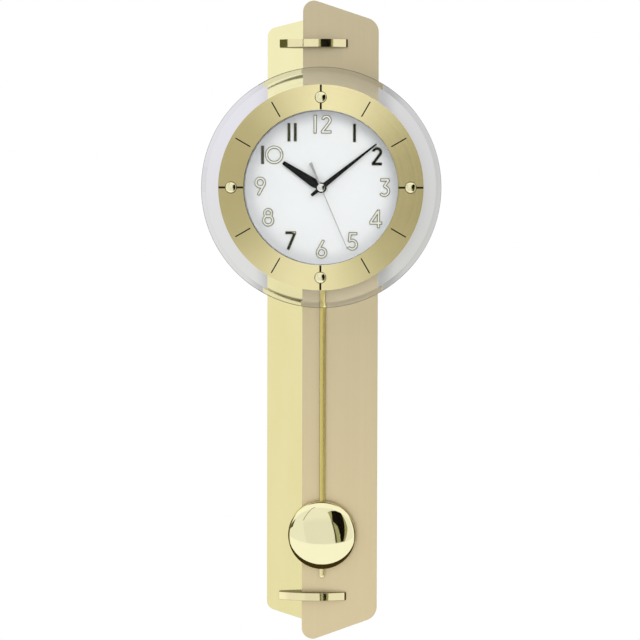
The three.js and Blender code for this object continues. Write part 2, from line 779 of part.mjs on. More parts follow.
function addElectrics() {
  const cellEnd = battery.half;
  const can = crossRod(battery.radius, -cellEnd, cellEnd, battery.y, battery.z, 24);
  const nub = crossRod(battery.nubRadius, cellEnd - 0.5, cellEnd + battery.nub, battery.y, battery.z, 12);
  addPart("battery", fuse(can, nub), cell);
  const { inner, thick, half } = contact;
  const low = [battery.y - half, battery.y + half, battery.z - half, battery.z + half];
  addPart("contact_positive", block(inner, inner + thick, ...low), steel);
  addPart("contact_negative", block(-inner - thick, -inner, ...low), steel);

  const card = block(-circuit.half, circuit.half, circuit.bottom, circuit.top, circuit.back, circuit.front);
  addPart("circuit_board", card, green);

  const { y, z, coreRadius, coreHalf, coilRadius, coilHalf } = antenna;
  addPart("antenna_core", crossRod(coreRadius, -coreHalf, coreHalf, y, z, 14), ferrite);
  const winding = crossRod(coilRadius, -coilHalf, coilHalf, y, z, 18);
  addPart("antenna_coil", cut(winding, crossRod(coreRadius + gap, -coreHalf, coreHalf, y, z, 14)), copper);

  const disc = rod(driveCoil.radius, driveCoil.back, driveCoil.front, 0, driveCoil.y, 24);
  const eye = rod(driveCoil.bore, driveCoil.back - 1, driveCoil.front + 1, 0, driveCoil.y, 12);
  addPart("pendulum_coil", cut(disc, eye), copper);
}

function addButtons() {
  const profile = [
    [0, button.back],
    [button.radius, button.back],
    [button.radius, button.flangeBack],
    [button.flangeRadius, button.flangeBack],
    [button.flangeRadius, button.flangeFront],
    [0, button.flangeFront],
  ];
  addPart("set_button", turned(profile, 12).translate(-button.x, button.y, 0), white);
  addPart("reset_button", turned(profile, 12).translate(button.x, button.y, 0), white);
}

function addMotor(name, at, coilX, coilY) {
  const { halfWidth, halfHeight, bore, back, front } = stator;
  const plate = block(at.x - halfWidth, at.x + halfWidth, at.y - halfHeight, at.y + halfHeight, back, front);
  addPart(`${name}_stator`, cut(plate, rod(bore, back - 1, front + 1, at.x, at.y, 20)), steel);
  const { coilRadius, flangeRadius, flange, half, z } = motor;
  const winding = crossRod(coilRadius, coilX - half, coilX + half, coilY, z, 14);
  const left = crossRod(flangeRadius, coilX - half, coilX - half + flange, coilY, z, 14);
  const right = crossRod(flangeRadius, coilX + half - flange, coilX + half, coilY, z, 14);
  addPart(`${name}_coil`, fuse(winding, left, right), copper);
}

function addMotors() {
  addMotor("minutes", minuteRotorAt, -17, 26.4);
  addMotor("seconds", secondRotorAt, 18.2, -22.8);
}

// The wheels. Tooth flanks are [height in modules, place in tooth pitches] about the pitch circle:
// pointed gaps on wheels and narrow leaves on pinions, with backlash between them.
const wheelFlank = [
  [-wheelTooth.root, -0.5],
  [wheelTooth.tip, -wheelTooth.tipTurn],
  [wheelTooth.tip, wheelTooth.tipTurn],
];
const pinionFlank = [
  [-pinionLeaf.root, -pinionLeaf.rootTurn],
  [pinionLeaf.tip, -pinionLeaf.tipTurn],
  [pinionLeaf.tip, pinionLeaf.tipTurn],
  [-pinionLeaf.root, pinionLeaf.rootTurn],
];

function gearShape(teeth, module, phase) {
  const flank = teeth > leafLimit ? wheelFlank : pinionFlank;
  const step = (2 * Math.PI) / teeth;
  const points = Array.from({ length: teeth }, (_, i) =>
    flank.map(([height, offset]) => {
      const radius = (teeth / 2 + height) * module;
      const angle = phase + (i + offset) * step;
      return [radius * Math.cos(angle), radius * Math.sin(angle)];
    })).flat();
  return polygon(points);
}

// The phase that puts a mate's gap opposite a tooth, with the mate's centre at the given bearing.
function meshPhase(phase, teeth, mateTeeth, bearing) {
  const line = bearing * turn;
  return line + Math.PI - (teeth / mateTeeth) * (phase - line) - Math.PI / mateTeeth;
}

function gear(teeth, module, phase, level) {
  return prism(gearShape(teeth, module, phase), level[0], level[1]);
}

function addSecondsTrain() {
  const { wheelTeeth, pinionTeeth, module, bearing, driveTeeth, rotorBearing } = secondTrain;
  const spindle = rod(arbor.second, 26.6, secondHand.front + 0.4, 0, 0, 10);
  addPart("seconds_wheel", fuse(gear(wheelTeeth, module, 0, wheelLevel.seconds), spindle), nylon);

  const pinionPhase = meshPhase(0, wheelTeeth, pinionTeeth, bearing);
  const pinion = gear(pinionTeeth, module, pinionPhase, wheelLevel.secondsPinion);
  const drive = gear(driveTeeth, rotor.module, 0, wheelLevel.secondsDrive);
  const eye = rod(studBore.drive, 26, 36, 0, 0, 10);
  addPart("seconds_drive_wheel", cut(fuse(pinion, drive), eye).translate(driveAt.x, driveAt.y, 0), nylon);
  addRotor("seconds_rotor", meshPhase(0, driveTeeth, rotor.teeth, rotorBearing), secondRotorAt);
}

function addRotor(name, phase, at) {
  const magnet = rod(rotor.radius, rotor.back, rotor.front, 0, 0, 16);
  const pinion = gear(rotor.teeth, rotor.module, phase, [rotor.front - 0.2, rotor.pinionFront]);
  const eye = rod(rotor.bore, rotor.back - 1, rotor.pinionFront + 1, 0, 0, 8);
  addPart(name, cut(fuse(magnet, pinion), eye).translate(at.x, at.y, 0), ferrite);
}

function addMinutesTrain() {
  const { centreTeeth, pinionTeeth, module, bearing, wheelTeeth, rotorBearing } = minuteTrain;
  const { cannonTeeth, distance } = motionWork;
  const cannonModule = (2 * distance) / (cannonTeeth + motionWork.wheelTeeth);
  const centre = gear(centreTeeth, module, 0, wheelLevel.centre);
  const cannon = gear(cannonTeeth, cannonModule, 0, wheelLevel.cannon);
  const pipe = rod(arbor.minute, wheelLevel.centre[0], minuteHand.front + gap, 0, 0, 14);
  const eye = rod(arbor.minuteBore, wheelLevel.centre[0] - 1, minuteHand.front + 2, 0, 0, 12);
  addPart("centre_wheel", cut(fuse(centre, cannon, pipe), eye), nylon);

  const pinionPhase = meshPhase(0, centreTeeth, pinionTeeth, bearing);
  const pinion = gear(pinionTeeth, module, pinionPhase, wheelLevel.reductionPinion);
  const wheel = gear(wheelTeeth, rotor.module, 0, wheelLevel.reduction);
  const hole = rod(studBore.reduction, 26, 40, 0, 0, 10);
  const reduction = cut(fuse(pinion, wheel), hole).translate(reductionAt.x, reductionAt.y, 0);
  addPart("minutes_reduction_wheel", reduction, nylon);
  addRotor("minutes_rotor", meshPhase(0, wheelTeeth, rotor.teeth, rotorBearing), minuteRotorAt);
}

function addMotionWork() {
  const { cannonTeeth, wheelTeeth, pinionTeeth, hourTeeth, distance, bearing } = motionWork;
  const wheelModule = (2 * distance) / (cannonTeeth + wheelTeeth);
  const hourModule = (2 * distance) / (pinionTeeth + hourTeeth);
  const wheelPhase = meshPhase(0, cannonTeeth, wheelTeeth, bearing);
  const wheel = gear(wheelTeeth, wheelModule, wheelPhase, wheelLevel.motion);
  const pinion = gear(pinionTeeth, hourModule, 0, wheelLevel.motionPinion);
  const hole = rod(studBore.motion, 30, 45, 0, 0, 10);
  addPart("motion_wheel", cut(fuse(wheel, pinion), hole).translate(motionAt.x, motionAt.y, 0), nylon);

  const hourPhase = meshPhase(0, pinionTeeth, hourTeeth, bearing + 180);
  const hour = gear(hourTeeth, hourModule, hourPhase, wheelLevel.hour);
  const pipe = rod(arbor.hour, wheelLevel.hour[0], hourHand.front + gap, 0, 0, 16);
  const eye = rod(arbor.hourBore, wheelLevel.hour[0] - 1, hourHand.front + 2, 0, 0, 14);
  addPart("hour_wheel", cut(fuse(hour, pipe), eye), nylon);
}

// The hands, drawn upright and then turned to the time.

function handSolid(hand) {
  const blade = polygon([
    [-hand.tailWidth / 2, -hand.tail],
    [hand.tailWidth / 2, -hand.tail],
    [hand.root / 2, hand.shoulder],
    [hand.tip / 2, hand.length],
    [-hand.tip / 2, hand.length],
    [-hand.root / 2, hand.shoulder],
  ]);
  const hub = rod(hand.hub, hand.back, hand.front, 0, 0, 24);
  const eye = rod(hand.bore, hand.back - 1, hand.front + 1, 0, 0, 16);
  return cut(fuse(prism(blade, hand.back, hand.front), hub), eye);
}

function addHands() {
  addPart("hour_hand", handSolid(hourHand).rotateZ(-handAngle.hour * turn), darkSteel);
  addPart("minute_hand", handSolid(minuteHand).rotateZ(-handAngle.minute * turn), darkSteel);

  const { length, root, tip, tail, tailRoot, tailWidth, hub, bore, back, front, cap } = secondHand;
  const blade = polygon([[-root / 2, 0], [root / 2, 0], [tip / 2, length], [-tip / 2, length]]);
  const needle = prism(blade, back, front);
  const paddle = polygon([
    [-tailWidth / 2, -tail],
    [tailWidth / 2, -tail],
    [tailRoot / 2, 0],
    [-tailRoot / 2, 0],
  ]);
  const weight = prism(paddle, back, front);
  const capProfile = [
    [0, back],
    [hub, back],
    [hub, front],
    [hub * 0.75, cap - 0.35],
    [hub * 0.3, cap],
    [0, cap],
  ];
  const button = turned(capProfile, 20);
  const socket = rod(bore, back - 1, front + 0.7, 0, 0, 10);
  const solid = cut(fuse(needle, weight, button), socket);
  addPart("second_hand", solid.rotateZ(-handAngle.second * turn), steel);
}

// The pendulum: arm on the movement's pivot, magnet, rod and bob.

function addArm() {
  const { back, front, eye, bore, half, bottom, magnetY, magnetRadius, hookRadius } = arm;
  const strip = block(-half, half, bottom, pendulum.pivot, back, front);
  const head = rod(eye, back, front, 0, pendulum.pivot, 24);
  const hook = rod(hookRadius, front - 0.4, rodStrip.front + 0.3, 0, rodStrip.hook, 12);
  const hole = rod(bore, back - 1, front + 1, 0, pendulum.pivot, 20);
  const seat = rod(magnetRadius + gap, back - 1, front + 1, 0, magnetY, 20);
  const widening = rod(magnetRadius + arm.seatWall, back, front, 0, magnetY, 24);
  addPart("pendulum_arm", cut(fuse(strip, head, widening, hook), hole, seat), black);
  addPart("pendulum_magnet", rod(magnetRadius, back + gap, front - gap, 0, magnetY, 20), steel);
}

function addRod() {
  const { half, top, bottom, back, front, hook, hookBore, crownWide, crownDeep } = rodStrip;
  const flat = half - crownWide;
  const outline = roundedBox(-flat, flat, bottom + crownWide, top - crownWide, flat - 0.05);
  const options = {
    depth: front - back - 2 * crownDeep,
    bevelThickness: crownDeep,
    bevelSize: crownWide,
    bevelSegments: 3,
    curveSegments: 3,
  };
  const strip = new THREE.ExtrudeGeometry(outline, options).translate(0, 0, back + crownDeep);
  addPart("pendulum_rod", cut(strip, rod(hookBore, back - 1, front + 1, 0, hook, 12)), gold);
}

function addBob() {
  const { y, radius, back, backThick, rim, crown, shell } = bob;
  const rimBack = back + backThick + gap;
  const rimFront = rimBack + rim;
  const crownSteps = 5;
  const curve = (outer, height, base) => Array.from({ length: crownSteps }, (_, i) => {
    const angle = (i / crownSteps) * (Math.PI / 2);
    return [outer * Math.cos(angle), base + height * Math.sin(angle)];
  });
  const hollow = curve(radius - shell, crown - shell, rimFront).reverse();
  const dish = turned([
    [0, rimFront + crown - shell],
    ...hollow,
    [radius - shell, rimBack],
    [radius, rimBack],
    ...curve(radius, crown, rimFront),
    [0, rimFront + crown],
  ], 32);
  addPart("bob_shell", dish.translate(0, y, 0), gold);

  const disc = rod(radius - 0.6, back, back + backThick, 0, y, 40);
  const { half, height, back: loopBack, slotHalf, slotBack, slotFront } = bobLoop;
  const body = block(-half, half, y - height / 2, y + height / 2, loopBack, back + 0.3);
  const slot = block(-slotHalf, slotHalf, y - height, y + height, slotBack, slotFront);
  addPart("bob_back", fuse(disc, cut(body, slot)), brass);
}

addSheets();
addBoards();
addHanger();
addPad();
addBrackets();
addPosts();
addDial();
addCollar();
addGlass();
addRing();
addDomes();
addCase();
addCover();
addNut();
addElectrics();
addButtons();
addMotors();
addSecondsTrain();
addMinutesTrain();
addMotionWork();
addHands();
addArm();
addRod();
addBob();

// The part's origin is on the hanger plate, and its front faces -Y.
clock.rotation.x = Math.PI / 2;
clock.position.z = -hangPoint;
const group = new THREE.Group();
group.add(clock);

export default group;
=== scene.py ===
import json
import math

import bpy
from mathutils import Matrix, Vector


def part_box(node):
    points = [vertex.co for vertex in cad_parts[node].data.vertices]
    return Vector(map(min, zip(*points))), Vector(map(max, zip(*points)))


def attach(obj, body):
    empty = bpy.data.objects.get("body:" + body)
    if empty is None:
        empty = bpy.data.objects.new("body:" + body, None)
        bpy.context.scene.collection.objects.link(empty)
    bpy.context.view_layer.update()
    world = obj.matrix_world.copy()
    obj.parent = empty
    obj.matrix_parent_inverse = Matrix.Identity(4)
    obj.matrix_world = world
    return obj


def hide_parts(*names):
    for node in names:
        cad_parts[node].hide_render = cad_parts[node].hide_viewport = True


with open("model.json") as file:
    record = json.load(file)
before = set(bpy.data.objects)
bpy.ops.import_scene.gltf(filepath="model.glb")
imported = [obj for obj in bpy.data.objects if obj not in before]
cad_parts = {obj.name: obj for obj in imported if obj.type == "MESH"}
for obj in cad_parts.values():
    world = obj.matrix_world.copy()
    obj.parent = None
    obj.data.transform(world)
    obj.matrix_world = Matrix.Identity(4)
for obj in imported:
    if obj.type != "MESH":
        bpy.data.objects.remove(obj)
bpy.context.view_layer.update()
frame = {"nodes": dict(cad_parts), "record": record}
nodes = frame["nodes"]
mm = 0.001
dialHeight = -0.1245  # the dial's axis under the hanging point, in metres
weld = 1e-6  # points nearer than this become one, in metres
nearPlane = 1e-5  # and points nearer than this to a plane lie on it
flatAngle = math.radians(0.4)  # faces that meet at less are merged
sharpAngle = math.radians(35)  # edges that turn by more are softened
pastCut = 1  # how far a cutter reaches beyond what it cuts, in millimetres
print("frame loaded,", len(nodes), "nodes")


# Working helpers. Face sizes are millimetres: x right, y up from the dial's axis, out from the wall.

def spot(x, y, out):
    return Vector((x * mm, -out * mm, y * mm + dialHeight))


def deselectAll():
    if bpy.context.mode != "OBJECT":
        bpy.ops.object.mode_set(mode="OBJECT")
    bpy.ops.object.select_all(action="DESELECT")


def pick(*pieces):
    deselectAll()
    for piece in pieces:
        piece.select_set(True)
    bpy.context.view_layer.objects.active = pieces[0]


def openMesh(piece, kind="VERT"):
    pick(piece)
    bpy.ops.object.mode_set(mode="EDIT")
    bpy.ops.mesh.select_mode(type=kind)
    bpy.ops.mesh.select_all(action="DESELECT")


def closeMesh():
    bpy.ops.object.mode_set(mode="OBJECT")


def selectFaces(piece, test):
    openMesh(piece, "FACE")
    closeMesh()
    for face in piece.data.polygons:
        face.select = test(face.center, face.normal)
    bpy.ops.object.mode_set(mode="EDIT")


def selectEdges(piece, test):
    openMesh(piece, "EDGE")
    closeMesh()
    points = piece.data.vertices
    for edge in piece.data.edges:
        edge.select = test(*(points[i].co for i in edge.vertices))
    bpy.ops.object.mode_set(mode="EDIT")


def tidyNormals():
    bpy.ops.mesh.select_all(action="SELECT")
    bpy.ops.mesh.remove_doubles(threshold=weld)
    bpy.ops.mesh.normals_make_consistent(inside=False)
    closeMesh()


def applyModifier(piece, kind, **settings):
    made = piece.modifiers.new(kind.lower(), kind)
    for name, value in settings.items():
        setattr(made, name, value)
    pick(piece)
    bpy.ops.object.modifier_apply(modifier=made.name)


def smoothBy(piece, angle=30):
    pick(piece)
    bpy.ops.object.shade_smooth_by_angle(angle=math.radians(angle))


def softenEdges(piece, width, segments=2):
    smoothBy(piece)
    applyModifier(piece, "BEVEL", width=width * mm, segments=segments, limit_method="ANGLE",
                  angle_limit=sharpAngle, harden_normals=True)


# A profile of (radius, out) points is extruded point by point and spun round the axis at x, y.
def turnProfile(name, profile, steps, x=0, y=0):
    def place(point):
        radius, out = point
        return spot(x + radius, y, out)

    deselectAll()
    bpy.ops.mesh.primitive_plane_add(size=mm)
    piece = bpy.context.object
    piece.name = name
    bpy.ops.object.mode_set(mode="EDIT")
    bpy.ops.mesh.select_mode(type="VERT")
    bpy.ops.mesh.merge(type="CENTER")
    here = place(profile[0])
    bpy.ops.transform.translate(value=here)
    for point in profile[1:]:
        bpy.ops.mesh.extrude_region_move(TRANSFORM_OT_translate={"value": place(point) - here})
        here = place(point)
    bpy.ops.mesh.select_all(action="SELECT")
    bpy.ops.mesh.spin(steps=steps, angle=math.tau, center=spot(x, y, 0), axis=(0, 1, 0))
    tidyNormals()
    smoothBy(piece)
    return piece


# A flat ring with square edges.
def turnRing(name, inner, outer, back, front, steps, y=0):
    profile = [(inner, back), (outer, back), (outer, front), (inner, front), (inner, back)]
    return turnProfile(name, profile, steps, y=y)


# Points of a low dome, from its edge to its crown.
def domeCurve(radius, base, rise):
    shares = [1 - i / 10 for i in range(11)]
    return [(radius * share, base + rise * (1 - share ** 2)) for share in shares]


def rectangle(left, right, low, high):
    return [(left, low), (right, low), (right, high), (left, high)]


# A flat outline of (x, y) corners, extruded from back to front.
def cutPlate(name, corners, back, front):
    deselectAll()
    bpy.ops.mesh.primitive_circle_add(vertices=len(corners), radius=0.01, fill_type="NGON")
    piece = bpy.context.object
    piece.name = name
    for index, (x, y) in enumerate(corners):
        openMesh(piece)
        closeMesh()
        piece.data.vertices[index].select = True
        start = piece.data.vertices[index].co.copy()
        bpy.ops.object.mode_set(mode="EDIT")
        bpy.ops.transform.translate(value=spot(x, y, back) - start)
    openMesh(piece, "FACE")
    bpy.ops.mesh.select_all(action="SELECT")
    bpy.ops.mesh.extrude_region_move(TRANSFORM_OT_translate={"value": (0, (back - front) * mm, 0)})
    tidyNormals()
    return piece


# Clockwise round the dial's axis, as seen from the front.
def turnAbout(piece, degrees):
    openMesh(piece)
    bpy.ops.mesh.select_all(action="SELECT")
    bpy.ops.transform.rotate(value=-math.radians(degrees), orient_axis="Y", center_override=spot(0, 0, 0))
    closeMesh()


def copyPiece(piece, name):
    made = bpy.data.objects.new(name, piece.data.copy())
    bpy.context.scene.collection.objects.link(made)
    return made


# A CAD node's shape, open for editing, with its loose triangles welded.
def weldedCopy(node, name):
    piece = copyPiece(nodes[node], name)
    openMesh(piece)
    bpy.ops.mesh.customdata_custom_splitnormals_clear()
    bpy.ops.mesh.select_all(action="SELECT")
    bpy.ops.mesh.remove_doubles(threshold=weld)
    return piece


# The same with its flat faces merged.
def cleanCopy(node, name):
    piece = weldedCopy(node, name)
    bpy.ops.mesh.dissolve_limited(angle_limit=flatAngle)
    closeMesh()
    return piece


def carve(piece, *cutters):
    for cutter in cutters:
        applyModifier(piece, "BOOLEAN", operation="DIFFERENCE", object=cutter, solver="EXACT")
        bpy.data.objects.remove(cutter)


def dress(piece, finish, body="clock_body", stands=()):
    piece.data.materials.clear()
    piece.data.materials.append(finish)
    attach(piece, body)
    if stands:
        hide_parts(*stands)


# A second finish on the faces that pass the test.
def dressFaces(piece, finish, test):
    piece.data.materials.append(finishes[finish])
    selectFaces(piece, test)
    piece.active_material_index = 1
    bpy.ops.object.material_slot_assign()
    closeMesh()


# Shader wiring: one class wraps a socket, and sums on values add their Math nodes.

class Wire:
    def __init__(self, tree, socket=None):
        self.tree = tree
        self.socket = socket

    def node(self, kind, settings=None, values=None, out=0):
        made = self.tree.nodes.new("ShaderNode" + kind)
        for name, value in (settings or {}).items():
            setattr(made, name, value)
        for name, value in (values or {}).items():
            if isinstance(value, Wire):
                self.tree.links.new(value.socket, made.inputs[name])
            else:
                made.inputs[name].default_value = value
        return Wire(self.tree, made.outputs[out])

    def math(self, operation, first, second):
        return self.node("Math", {"operation": operation}, {0: first, 1: second})

    def __add__(self, other):
        return self.math("ADD", self, other)

    def __sub__(self, other):
        return self.math("SUBTRACT", self, other)

    def __rsub__(self, other):
        return self.math("SUBTRACT", other, self)

    def __mul__(self, other):
        return self.math("MULTIPLY", self, other)

    def __pow__(self, other):
        return self.math("POWER", self, other)

    __radd__ = __add__
    __rmul__ = __mul__

    def noise(self, scale, detail, rough=0.5):
        values = {"Vector": self, "Scale": scale, "Detail": detail, "Roughness": rough}
        return self.node("TexNoise", None, values)

    def stretched(self, x, y, z):
        return self.node("Mapping", None, {"Vector": self, "Scale": (x, y, z)})

    def part(self, letter):
        return self.node("SeparateXYZ", None, {0: self}, letter)

    def step(self, low, high):
        values = {"Value": self, "From Min": low, "From Max": high}
        return self.node("MapRange", {"interpolation_type": "SMOOTHSTEP"}, values)

    def colour(self, low, high):
        values = {0: self, 6: (*low, 1) if isinstance(low, tuple) else low}
        values[7] = (*high, 1) if isinstance(high, tuple) else high
        return self.node("Mix", {"data_type": "RGBA"}, values, 2)

    def bump(self, depth):
        return self.node("Bump", None, {"Height": self, "Distance": depth * mm})


def startFinish(name):
    finish = bpy.data.materials.new(name)
    finish.use_nodes = True
    return finish, Wire(finish.node_tree).node("TexCoord", out="Object")


def setSurface(finish, **values):
    tree = finish.node_tree
    shader = tree.nodes["Principled BSDF"]
    for name, value in values.items():
        socket = shader.inputs[name.replace("_", " ")]
        if isinstance(value, Wire):
            tree.links.new(value.socket, socket)
        else:
            socket.default_value = value
    return finish


# Place and radius from the dial's axis, for patterns that run round it.
def fromDial(place):
    return place.node("Mapping", None, {"Vector": place, "Location": (0, 0, -dialHeight)})


def dialRadius(place):
    moved = fromDial(place)
    x = moved.part("X")
    z = moved.part("Z")
    return (x * x + z * z) ** 0.5


def mirrorGold():
    finish, place = startFinish("mirrorGold")
    smear = place.stretched(55, 55, 16).noise(1, 4)
    hairs = place.stretched(1300, 1300, 45).noise(1, 2)
    roll = place.noise(7, 1)
    # Lighter and paler towards the top: a painted reflection.
    rise = place.part("Z").step(-0.25, 0.05)
    low = smear.colour((0.95, 0.865, 0.435), (1.0, 0.925, 0.50))
    tone = rise.colour(low, smear.colour((0.985, 0.92, 0.53), (1.0, 0.955, 0.585)))
    rough = 0.035 + smear * 0.05 + hairs * 0.02
    return setSurface(finish, Base_Color=tone, Metallic=1.0, Roughness=rough, Normal=roll.bump(0.35))


def brushedChampagne():
    finish, place = startFinish("brushedChampagne")
    grain = place.stretched(1500, 1500, 9).noise(1, 3, 0.6)
    bands = place.stretched(240, 240, 2.2).noise(1, 3)
    # Darker towards the top and lighter below: a painted reflection.
    paintedReflectionFall = place.part("Z").step(-0.60, 0.05)
    low = bands.colour((0.785, 0.66, 0.405), (0.825, 0.70, 0.435))
    high = bands.colour((0.635, 0.55, 0.36), (0.675, 0.585, 0.385))
    tone = paintedReflectionFall.colour(low, high)
    rough = 0.26 + grain * 0.16 + bands * 0.06
    return setSurface(finish, Base_Color=tone, Metallic=0.76, Roughness=rough, Normal=grain.bump(0.06))


def spunGold():
    finish, place = startFinish("spunGold")
    radius = dialRadius(place)
    rings = radius.node("TexNoise", {"noise_dimensions": "1D"}, {"W": radius, "Scale": 2400, "Detail": 2})
    # The bow-tie sheen of the spun ring, bright at top and bottom and dark at the sides, is painted into its
    # colour.
    turned = fromDial(place)
    across = turned.part("Z") * 0.99 + turned.part("X") * 0.14
    paintedSheen = (across * across).math("DIVIDE", across * across, radius * radius)
    haze = place.noise(30, 3)
    side = haze.colour((0.485, 0.42, 0.20), (0.56, 0.48, 0.235))
    crest = haze.colour((0.94, 0.845, 0.46), (1.0, 0.905, 0.51))
    return setSurface(finish, Base_Color=(paintedSheen * paintedSheen).colour(side, crest), Metallic=1.0,
                      Roughness=0.10 + rings * 0.05, Normal=rings.bump(0.02))


def polishedGold():
    finish, place = startFinish("polishedGold")
    smear = place.noise(120, 4)
    dots = place.noise(2600, 2).step(0.68, 0.8)
    tone = smear.colour((0.90, 0.85, 0.53), (0.95, 0.91, 0.60))
    rough = 0.025 + smear * 0.035 + dots * 0.05
    return setSurface(finish, Base_Color=tone, Metallic=1.0, Roughness=rough, Normal=smear.bump(0.02))


def barGold():
    finish, place = startFinish("barGold")
    smear = place.noise(90, 4)
    hairs = place.stretched(60, 2600, 2600).noise(1, 2)
    tone = smear.colour((0.90, 0.815, 0.485), (0.96, 0.875, 0.54))
    rough = 0.025 + smear * 0.04 + hairs * 0.03
    return setSurface(finish, Base_Color=tone, Metallic=1.0, Roughness=rough, Normal=smear.bump(0.02))


def bobGold():
    finish, place = startFinish("bobGold")
    smear = place.noise(60, 4)
    tone = smear.colour((0.925, 0.88, 0.545), (0.96, 0.915, 0.595))
    rough = 0.02 + smear * 0.04
    return setSurface(finish, Base_Color=tone, Metallic=1.0, Roughness=rough, Normal=smear.bump(0.03))


def paleGold():
    finish, place = startFinish("paleGold")
    smear = place.noise(260, 3)
    tone = smear.colour((0.95, 0.94, 0.78), (0.985, 0.98, 0.85))
    return setSurface(finish, Base_Color=tone, Metallic=1.0, Roughness=0.03 + smear * 0.05,
                      Normal=smear.bump(0.01))


# Dark edge metal for the numerals' chamfers and sides: a painted shade and dark reflection round their
# outlines.
def figureOutlineShade():
    finish, place = startFinish("figureOutlineShade")
    smear = place.noise(700, 3)
    tone = smear.colour((0.085, 0.085, 0.035), (0.16, 0.155, 0.075))
    return setSurface(finish, Base_Color=tone, Metallic=0.9, Roughness=0.2 + smear * 0.1,
                      Normal=smear.bump(0.01))


def brightNickel():
    finish, place = startFinish("brightNickel")
    smear = place.noise(900, 3)
    tone = smear.colour((0.80, 0.80, 0.78), (0.90, 0.90, 0.88))
    return setSurface(finish, Base_Color=tone, Metallic=1.0, Roughness=0.04 + smear * 0.06,
                      Normal=smear.bump(0.004))


# Dark brass with fine lines for the bars' top, bottom and end faces; its darkness is a painted shade and
# dark reflection.
def barEdgeShade():
    finish, place = startFinish("barEdgeShade")
    lines = place.stretched(4200, 120, 4200).noise(1, 2)
    tone = lines.colour((0.075, 0.052, 0.016), (0.15, 0.11, 0.04))
    return setSurface(finish, Base_Color=tone, Metallic=1.0, Roughness=0.3 + lines * 0.15,
                      Normal=lines.bump(0.03))


rodTip = (-0.518, -0.534)  # heights between which the rod turns bright


def satinBrass():
    finish, place = startFinish("satinBrass")
    grain = place.stretched(2200, 2200, 30).noise(1, 3)
    tarnish = place.stretched(80, 80, 12).noise(1, 4)
    tip = place.part("Z").step(*rodTip)
    tone = tip.colour(tarnish.colour((0.63, 0.52, 0.165), (0.76, 0.64, 0.225)), (0.93, 0.82, 0.47))
    rough = (0.20 + grain * 0.14) * (1 - tip * 0.75)
    return setSurface(finish, Base_Color=tone, Metallic=1.0, Roughness=rough, Normal=grain.bump(0.03))


def turnedBrass():
    finish, place = startFinish("turnedBrass")
    lines = place.stretched(90, 5200, 90).noise(1, 2)
    tarnish = place.noise(150, 4)
    tone = tarnish.colour((0.60, 0.45, 0.16), (0.74, 0.58, 0.25))
    return setSurface(finish, Base_Color=tone, Metallic=1.0, Roughness=0.22 + lines * 0.16,
                      Normal=lines.bump(0.02))


def zincSteel():
    finish, place = startFinish("zincSteel")
    bloom = place.noise(240, 5, 0.6)
    spangle = place.node("TexVoronoi", None, {"Vector": place, "Scale": 320}, "Color").part("X")
    tone = bloom.colour((0.50, 0.505, 0.50), (0.68, 0.675, 0.64))
    rough = 0.28 + bloom * 0.18 + spangle * 0.08
    return setSurface(finish, Base_Color=tone, Metallic=1.0, Roughness=rough, Normal=bloom.bump(0.03))


def silverNeedle():
    finish, place = startFinish("silverNeedle")
    grain = place.noise(1800, 3)
    tone = grain.colour((0.45, 0.45, 0.445), (0.57, 0.57, 0.56))
    return setSurface(finish, Base_Color=tone, Metallic=1.0, Roughness=0.2 + grain * 0.15,
                      Normal=grain.bump(0.01))


def handBlack():
    finish, place = startFinish("handBlack")
    speckle = place.noise(2400, 3)
    cloud = place.noise(90, 3)
    tone = cloud.colour((0.003, 0.003, 0.0027), (0.007, 0.007, 0.0065))
    return setSurface(finish, Base_Color=tone, Roughness=0.42 + speckle * 0.14, Specular_IOR_Level=0.06,
                      Normal=speckle.bump(0.008))


def tickBlack():
    finish, place = startFinish("tickBlack")
    speckle = place.noise(1500, 3)
    tone = speckle.colour((0.004, 0.0035, 0.002), (0.012, 0.010, 0.006))
    return setSurface(finish, Base_Color=tone, Roughness=0.4 + speckle * 0.2, Specular_IOR_Level=0.1,
                      Normal=speckle.bump(0.02))


# Painted shade on the dial towards the collar, darkest above.
dialShade = {"radius": (0.064, 0.079), "rise": (-0.05, 0.06), "below": 0.72}


def dialWhite():
    finish, place = startFinish("dialWhite")
    grain = place.noise(1400, 3)
    cloud = place.noise(22, 3)
    tone = cloud.colour((0.845, 0.853, 0.856), (0.875, 0.88, 0.883))
    shade = cloud.colour((0.625, 0.63, 0.645), (0.65, 0.652, 0.668))
    upper = place.part("Z").step(*(dialHeight + rise for rise in dialShade["rise"]))
    below = dialShade["below"]
    rim = dialRadius(place).step(*dialShade["radius"]) * (below + upper * (1 - below))
    return setSurface(finish, Base_Color=rim.colour(tone, shade), Roughness=0.5 + grain * 0.15,
                      Coat_Weight=0.1, Coat_Roughness=0.3, Normal=grain.bump(0.012))


# Dark bronze as painted shade: in the screws' cross recesses and as a dark ring under each cap.
def paintedShadeBronze():
    finish, place = startFinish("paintedShadeBronze")
    grain = place.noise(900, 3)
    tone = grain.colour((0.06, 0.05, 0.022), (0.10, 0.085, 0.04))
    return setSurface(finish, Base_Color=tone, Metallic=0.8, Roughness=0.38 + grain * 0.12,
                      Normal=grain.bump(0.01))


# White moulding whose front lip is painted dark towards the left: a painted shade.
lipShadeSet = {"front": (-0.0526, -0.0528), "across": (0.004, -0.036)}


def collarWhite():
    finish, place = startFinish("collarWhite")
    grain = place.noise(900, 3)
    lipShade = place.part("Y").step(*lipShadeSet["front"]) * place.part("X").step(*lipShadeSet["across"])
    white = grain.colour((0.78, 0.785, 0.79), (0.84, 0.845, 0.85))
    tone = lipShade.colour(white, grain.colour((0.012, 0.008, 0.004), (0.03, 0.022, 0.012)))
    return setSurface(finish, Base_Color=tone, Roughness=0.45 + grain * 0.15, Normal=grain.bump(0.01))


